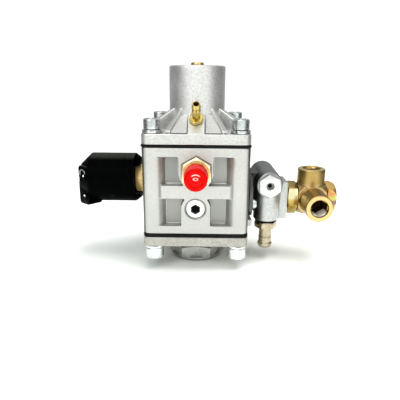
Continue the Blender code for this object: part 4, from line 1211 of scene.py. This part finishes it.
def filter_plug():
    plug = turned([(7.2, 14), (7.2, 24.3), (10.5, 24.3), (10.5, 25.3), (9.9, 25.6)],
                  0.18, 80, *BARREL_LINE)
    head = hex_head(16.6, 24.6, FILTER_FACE, *BARREL_LINE, turn=math.pi / 2 + 0.08, slope=0.3,
                    both=False)
    socket = union(prism(hexagon(5.0, 0.5), 25.4, 30, *BARREL_LINE),
                   lathe([(0, 24.6), (2.2, 25.5)], 30, *BARREL_LINE))
    return cut(union(plug, eased(head, 0.16)),
               lathe([(2.9, 27.9), (3.6, 28.8), (3.6, 30)], 56, *BARREL_LINE), socket)


def water_barb():
    head = eased(hex_head(17.0, 28.8, BARB_HEX_TOP, *WATER_LINE, turn=0.05, slope=0.45), 0.2)
    barb = [(4.4, 10.6), (4.9, 10.9), (5.6, 11.8), (6.25, 13.3), (6.3, 14.3), (6.05, 14.9),
            (5.45, 15.6), (5.45, 19.6), (5.75, 20.2), (5.45, 21.0), (5.45, 31)]
    return cut(union(head, cylinder(4.9, 30, 46, 40, *WATER_LINE),
                     turned(barb, 0.2, 80, *WATER_LINE)),
               lathe([(4.1, 5), (4.1, 10.9), (3.6, 11.6), (3.6, 50)], 40, *WATER_LINE))


# ---- inlet ---------------------------------------------------------------------------
def inlet_union():
    head = eased(hex_head(25.0, 78.3, 87.0, *INLET_LINE, turn=math.radians(15), slope=0.42), 0.3)
    return cut(union(head, cylinder(6.1, 66, 80, 40, *INLET_LINE),
                     cylinder(6.1, 85, 92.5, 40, *INLET_LINE)),
               cylinder(3.4, 60, 100, 32, *INLET_LINE))


def inlet_cross():
    x, half = CROSS[0], CROSS_H
    up, front, side = [(axis, CROSS_C) for axis in (ALONG_Z, ALONG_Y, ALONG_X)]
    cross = box(x - half, x + half, -half + 0.4, half - 0.4,
                INLET_Z - half + 0.3, INLET_Z + half - 0.3)
    # forged middle: the cube's corners are flattened
    square = [(-14, -14), (14, -14), (14, 14), (-14, 14)]
    for signs in product((-1, 1), repeat=3):
        outward = Vector(signs).normalized().to_track_quat("Z", "Y").to_matrix()
        cross = cut(cross, prism(square, 17.4, 26, outward, CROSS_C))
    top_port = [(11.75, -2), (11.75, 25.2), (11.3, 25.8), (10.9, 26.1)]
    front_port = [(11.2, -2), (11.2, 34.5), (10.9, 35.1), (10.5, 35.4)]
    cross = union(cross, lathe(top_port, 110, *up), lathe(front_port, 110, *front))
    through = [(6.4, -20), (6.4, -4.5), (3.5, -4.5), (3.5, 1.5), (6.4, 1.5), (6.4, 20)]
    threaded = [(3.5, 0), (3.5, 10), (7.0, 10.5),
                *thread_profile(7.0, 11.0, 25.0, pitch=1.6, depth=-0.45), (7.4, 25.1), (8.4, 27)]
    hexed = union(cylinder(3.5, 0, 14, 48, *front),
                  prism(hexagon(12.5, math.radians(32)), 13.5, 34.4, *front),
                  lathe([(6.9, 33.6), (7.7, 36.4)], 72, *front))
    return cut(cross, lathe(through, 48, *side), lathe(threaded, 72, *up), hexed)


def cross_plug():
    left = CROSS[0] + CROSS_H + GAP
    right = left + 8.2
    head = hex_head(25.0, left, right, *INLET_LINE, turn=math.radians(20), slope=0.62)
    dome = turned([(15, left - 1), (15, left + 3.0), (12.6, right)], 1.6, 96, *INLET_LINE, steps=6)
    plug = cut(eased(common(head, dome), 0.3),
               turned([(5.5, left + 7.5), (6.4, left + 9)], 0.3, 64, *INLET_LINE))
    return union(plug, cylinder(6.1, CROSS[0] + 2.5, left + 2, 40, *INLET_LINE))


# ---- outlet and relief --------------------------------------------------------------------
def outlet_fitting():
    head = hex_head(22.4, HALF + GAP, 46.2, *OUTLET_LINE, turn=math.pi / 2, slope=0.6,
                    both=False, flat=10.35)
    return cut(union(eased(head, 0.16), cylinder(9.3, 30, 44, 56, *OUTLET_LINE),
                     turned([(7.3, 44), (7.3, 62.5), (6.7, 63.1)], 0.2, 64, *OUTLET_LINE)),
               cylinder(4.6, 20, 66, 40, *OUTLET_LINE))


def outlet_cap():
    shell = [(7.6, 63.7), (7.6, 51.8), (9.1, 51.8), (9.1, 53.0), (8.7, 53.4), (8.7, 64.2),
             (8.45, 65.6), (7.6, 66.7), (6.3, 67.15), (5.6, 66.75), (4.9, 66.6), (3.7, 66.8),
             (2.9, 67.35), (2.1, 67.65), (1.2, 67.5), (0, 67.3)]
    return lathe(soft(shell, 0.45, 4)[::-1], 96, *OUTLET_LINE)


def relief_plug():
    plug = turned([(7.4, 36.0), (7.4, 40.75), (7.15, RELIEF_FACE)], 0.1, 80, *RELIEF_LINE)
    socket = prism(hexagon(7.2, math.pi / 2), 37.6, 45, ALONG_Y,
                   (RELIEF[0], 0, RELIEF[1] - SOCKET_DROP))
    return cut(plug, socket)


# ---- build ------------------------------------------------------------------------------
piece("body_block", cast(body_block(), voxel=0.5, smooth=3, keep=0.45), CAST_BODY, 60)
piece("top_cover", cast(top_cover(), voxel=0.45, smooth=2, keep=0.5), CAST_COVER, 60)
piece("bottom_cover", cast(bottom_cover(), voxel=0.5, smooth=2, keep=0.45), CAST_BOTTOM, 60)
piece("top_gasket", gasket(UPPER_Z0, UPPER_Z1, FLANGE + 0.9, hole=24.6), RUBBER)
piece("bottom_gasket", gasket(LOWER_Z0, LOWER_Z1, FLANGE + 0.2, hole=26.4, layers=2), RUBBER)
piece("base_plug", base_plug(), DARK_ALLOY)
piece("base_plug_seal", ring(16.6, 20.2, PLUG_TOP + GAP, COLLAR_Z0 - GAP, 0.5), RUBBER)

top_screw, bottom_screw = cap_screw(*TOP_HEAD), cap_screw(*BOTTOM_HEAD)
top_washer = lock_washer(TOP_WASHER_R, TOP_WASHER_T)
bottom_washer = ring(BOLT_HOLE_R, BOTTOM_WASHER_R, 0.0, BOTTOM_WASHER_T, 0.32, 80)
top_z, bottom_z = COVER_Z1 + GAP, BOTTOM_Z0 - GAP - BOTTOM_WASHER_T
flip = Matrix.Rotation(math.pi, 4, "X")
for k, (corner_name, (sx, sy)) in enumerate(CORNERS.items()):
    # node, mesh, height, turn
    for node, mesh, z, turn in (
            ("top_washer_", top_washer, top_z, Matrix.Rotation(2.4 + 1.9 * k, 4, "Z")),
            ("bottom_washer_", bottom_washer, bottom_z, Matrix.Identity(4)),
            ("top_screw_", top_screw, top_z + TOP_WASHER_T + GAP, Matrix.Rotation(0.7 * k, 4, "Z")),
            ("bottom_screw_", bottom_screw, bottom_z - GAP,
             flip @ Matrix.Rotation(0.9 * k, 4, "Z"))):
        copy = mesh.copy()
        copy.transform(Matrix.Translation(Vector((sx * BOLT, sy * BOLT, z)) * MM) @ turn)
        piece(node + corner_name, copy, ZINC, 40)

piece("adjusting_screw", adjusting_screw(), BRASS_Z, 30)
piece("vacuum_nipple", vacuum_nipple(), BRASS_NIPPLE)
piece("outlet_fitting", outlet_fitting(), BRASS_Y)
piece("outlet_cap", outlet_cap(), RED)
piece("relief_plug", relief_plug(), RELIEF_ALLOY)
piece("solenoid_base", solenoid_base(), BRASS_BASE)
piece("coil_body", cast(coil_body(), voxel=0.34, smooth=2, keep=0.4), BLACK, 60)
piece("coil_nut", coil_nut(), ZINC)
for name in ("lower", "upper"):
    pin = turned([(1.1, 0.8), (1.1, 5.2), (0.6, 5.8)], 0.2, 32, *terminal_line(name))
    piece("terminal_pin_" + name, pin, ZINC)

manifold_skin = cast(side_manifold(), voxel=0.42, smooth=3, keep=0.45)
piece("side_manifold", manifold_skin, CAST_MANIFOLD, 60)
piece("manifold_gasket", manifold_gasket(), FIBRE)
for name, y in zip(("front", "rear"), MANIFOLD_SCREWS):
    piece("manifold_screw_" + name, manifold_screw(y), ZINC)
piece("filter_plug", filter_plug(), FILTER_ALLOY)
piece("water_hose_barb", water_barb(), NICKEL_BRASS)
piece("barb_seal", ring(5.3, 9.4, BARB_HEX_TOP + GAP, MANIFOLD_LOW - GAP, 0.3, 72, *WATER_LINE),
      RUBBER)
piece("inlet_union", inlet_union(), BRASS_X)
piece("inlet_cross", cast(inlet_cross(), voxel=0.27, smooth=2, keep=0.4), BRASS_CROSS, 60)
piece("cross_plug", cross_plug(), ZINC_Y)

# clip on the connector: an extra piece on the housing
clip = clip_wire()
clip.shade_smooth()
clip.materials.append(ZINC)
clip_obj = linked("fine_connector_clip", clip)
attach(clip_obj, "housing")


# ---- springs: those with a joint get a mesh of their own ----------------------------------
def spring(node, mesh):
    obj = piece(node, mesh, STEEL, 60)
    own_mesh(obj)


spring("main_spring", coil_spring(14.2, 1.7, 100.6, 142.0, turns=5.5))
piece("valve_spring", coil_spring(6.4, 0.8, 19.4, 54.6, turns=6.5), STEEL, 60)
spring("plunger_spring", coil_spring(3.6, 0.5, -90.3, -75.3, 5.5, *COIL_LINE))
spring("relief_spring", coil_spring(4.2, 0.5, 32.1, 35.7, 2.5, *RELIEF_LINE))

# ---- inner pieces keep the frame's shape and get their finish ------------------------------
INNER = {"spring_seat": ZINC, "piston": ALLOY_Z, "piston_ring": RUBBER, "valve_stem": STEEL,
         "valve_poppet": RUBBER, "valve_seat": BRASS_Z, "relief_poppet": RUBBER,
         "guide_tube": STEEL_X, "plunger": STEEL_X, "filter_element": BRONZE}
for node, material in INNER.items():
    materials = frame["nodes"][node].data.materials
    materials.clear()
    materials.append(material)


# ---- studio, metres -----------------------------------------------------------------------
def area(name, place, width, height, power, target=(0, 0, 0.08)):
    lamp = bpy.data.lights.new(name, "AREA")
    lamp.shape = "RECTANGLE"
    lamp.size, lamp.size_y = width, height
    lamp.energy = power
    obj = bpy.data.objects.new(name, lamp)
    obj.location = place
    obj.rotation_euler = (Vector(target) - Vector(place)).to_track_quat("-Z", "Y").to_euler()
    bpy.context.scene.collection.objects.link(obj)
    return obj


def studio_floor():
    """A white sheet of limited size; the studio behind it is white to the camera."""
    z = -0.0004
    mesh = bpy.data.meshes.new("studio_floor")
    mesh.from_pydata([(-0.30, -0.60, z), (0.30, -0.60, z), (0.30, 0.55, z), (-0.30, 0.55, z)],
                     [], [[0, 1, 2, 3]])
    sheet = linked("studio_floor", mesh)
    m = Material("studio_paper", 0.9)
    m.color = m.mix(m.noise(scale=6, detail=3).span(0.3, 0.7),
                    (0.885, 0.915, 0.880), (0.915, 0.94, 0.910))
    mesh.materials.append(m.finish(0.9))
    return sheet


def light_room():
    """World: bright in front and above, grey behind, dark at the sides."""
    front, top, back, base = 0.80, 0.52, 0.30, 0.15     # strengths
    world = bpy.data.worlds.new("studio")
    bpy.context.scene.world = world
    world.use_nodes = True
    graph = Graph(world.node_tree)
    coords = graph.value("ShaderNodeTexCoord", "Generated")
    split = graph.node("ShaderNodeSeparateXYZ", {0: coords})
    y, z = [Wire(graph, split.outputs[axis]) for axis in "YZ"]
    strength = (y.span(-0.25, -0.9, 0.0, front) + z.span(0.35, 0.92, 0.0, top)
                + (y.span(0.3, 0.9, 0.0, back) + base))
    room = graph.value("ShaderNodeBackground", 0,
                       {"Color": (0.985, 1.0, 0.995), "Strength": strength})
    white = graph.value("ShaderNodeBackground", 0, {"Color": (1, 1, 1), "Strength": 1.05})
    camera_ray = graph.value("ShaderNodeLightPath", "Is Camera Ray")
    surface = graph.value("ShaderNodeMixShader", 0, {0: camera_ray, 1: room, 2: white})
    graph.node("ShaderNodeOutputWorld", {"Surface": surface})


floor = studio_floor()
light_room()

area("key", (-0.55, -0.75, 0.75), width=0.5, height=0.5, power=3.2)
area("fill", (0.70, -0.75, 0.40), width=0.4, height=0.6, power=0.8)
area("top", (0.05, -0.15, 1.0), width=0.7, height=0.7, power=1.4)
area("spark", (-0.03, -0.42, 0.42), width=0.05, height=0.05, power=0.16)
# the sheet has its own lamp overhead, so it stays white without flooding the object
sheet_lamp = area("sheet_lamp", (0.28, -0.02, 1.05), width=0.8, height=0.8, power=13.0,
                  target=(0, 0.05, 0))
sheet_only = bpy.data.collections.new("sheet_only")
sheet_only.objects.link(floor)
sheet_lamp.light_linking.receiver_collection = sheet_only

camera = bpy.data.cameras.new("camera")
camera_obj = linked("camera", camera)
camera.sensor_width = 36.0
camera.lens = 37.372
camera.clip_start = 0.01
CAMERA_PLACE = (0.006233, -0.353533, 0.15201)
CAMERA_PAN, CAMERA_DOWN, CAMERA_ROLL = 0.534, 16.336, 0.451     # degrees
camera_obj.matrix_world = (Matrix.Translation(CAMERA_PLACE)
                           @ Matrix.Rotation(math.radians(CAMERA_PAN), 4, "Z")
                           @ Matrix.Rotation(math.radians(90 - CAMERA_DOWN), 4, "X")
                           @ Matrix.Rotation(math.radians(CAMERA_ROLL), 4, "Z"))
bpy.context.scene.camera = camera_obj
bpy.context.scene.view_settings.view_transform = "Standard"
bpy.context.scene.view_settings.look = "None"
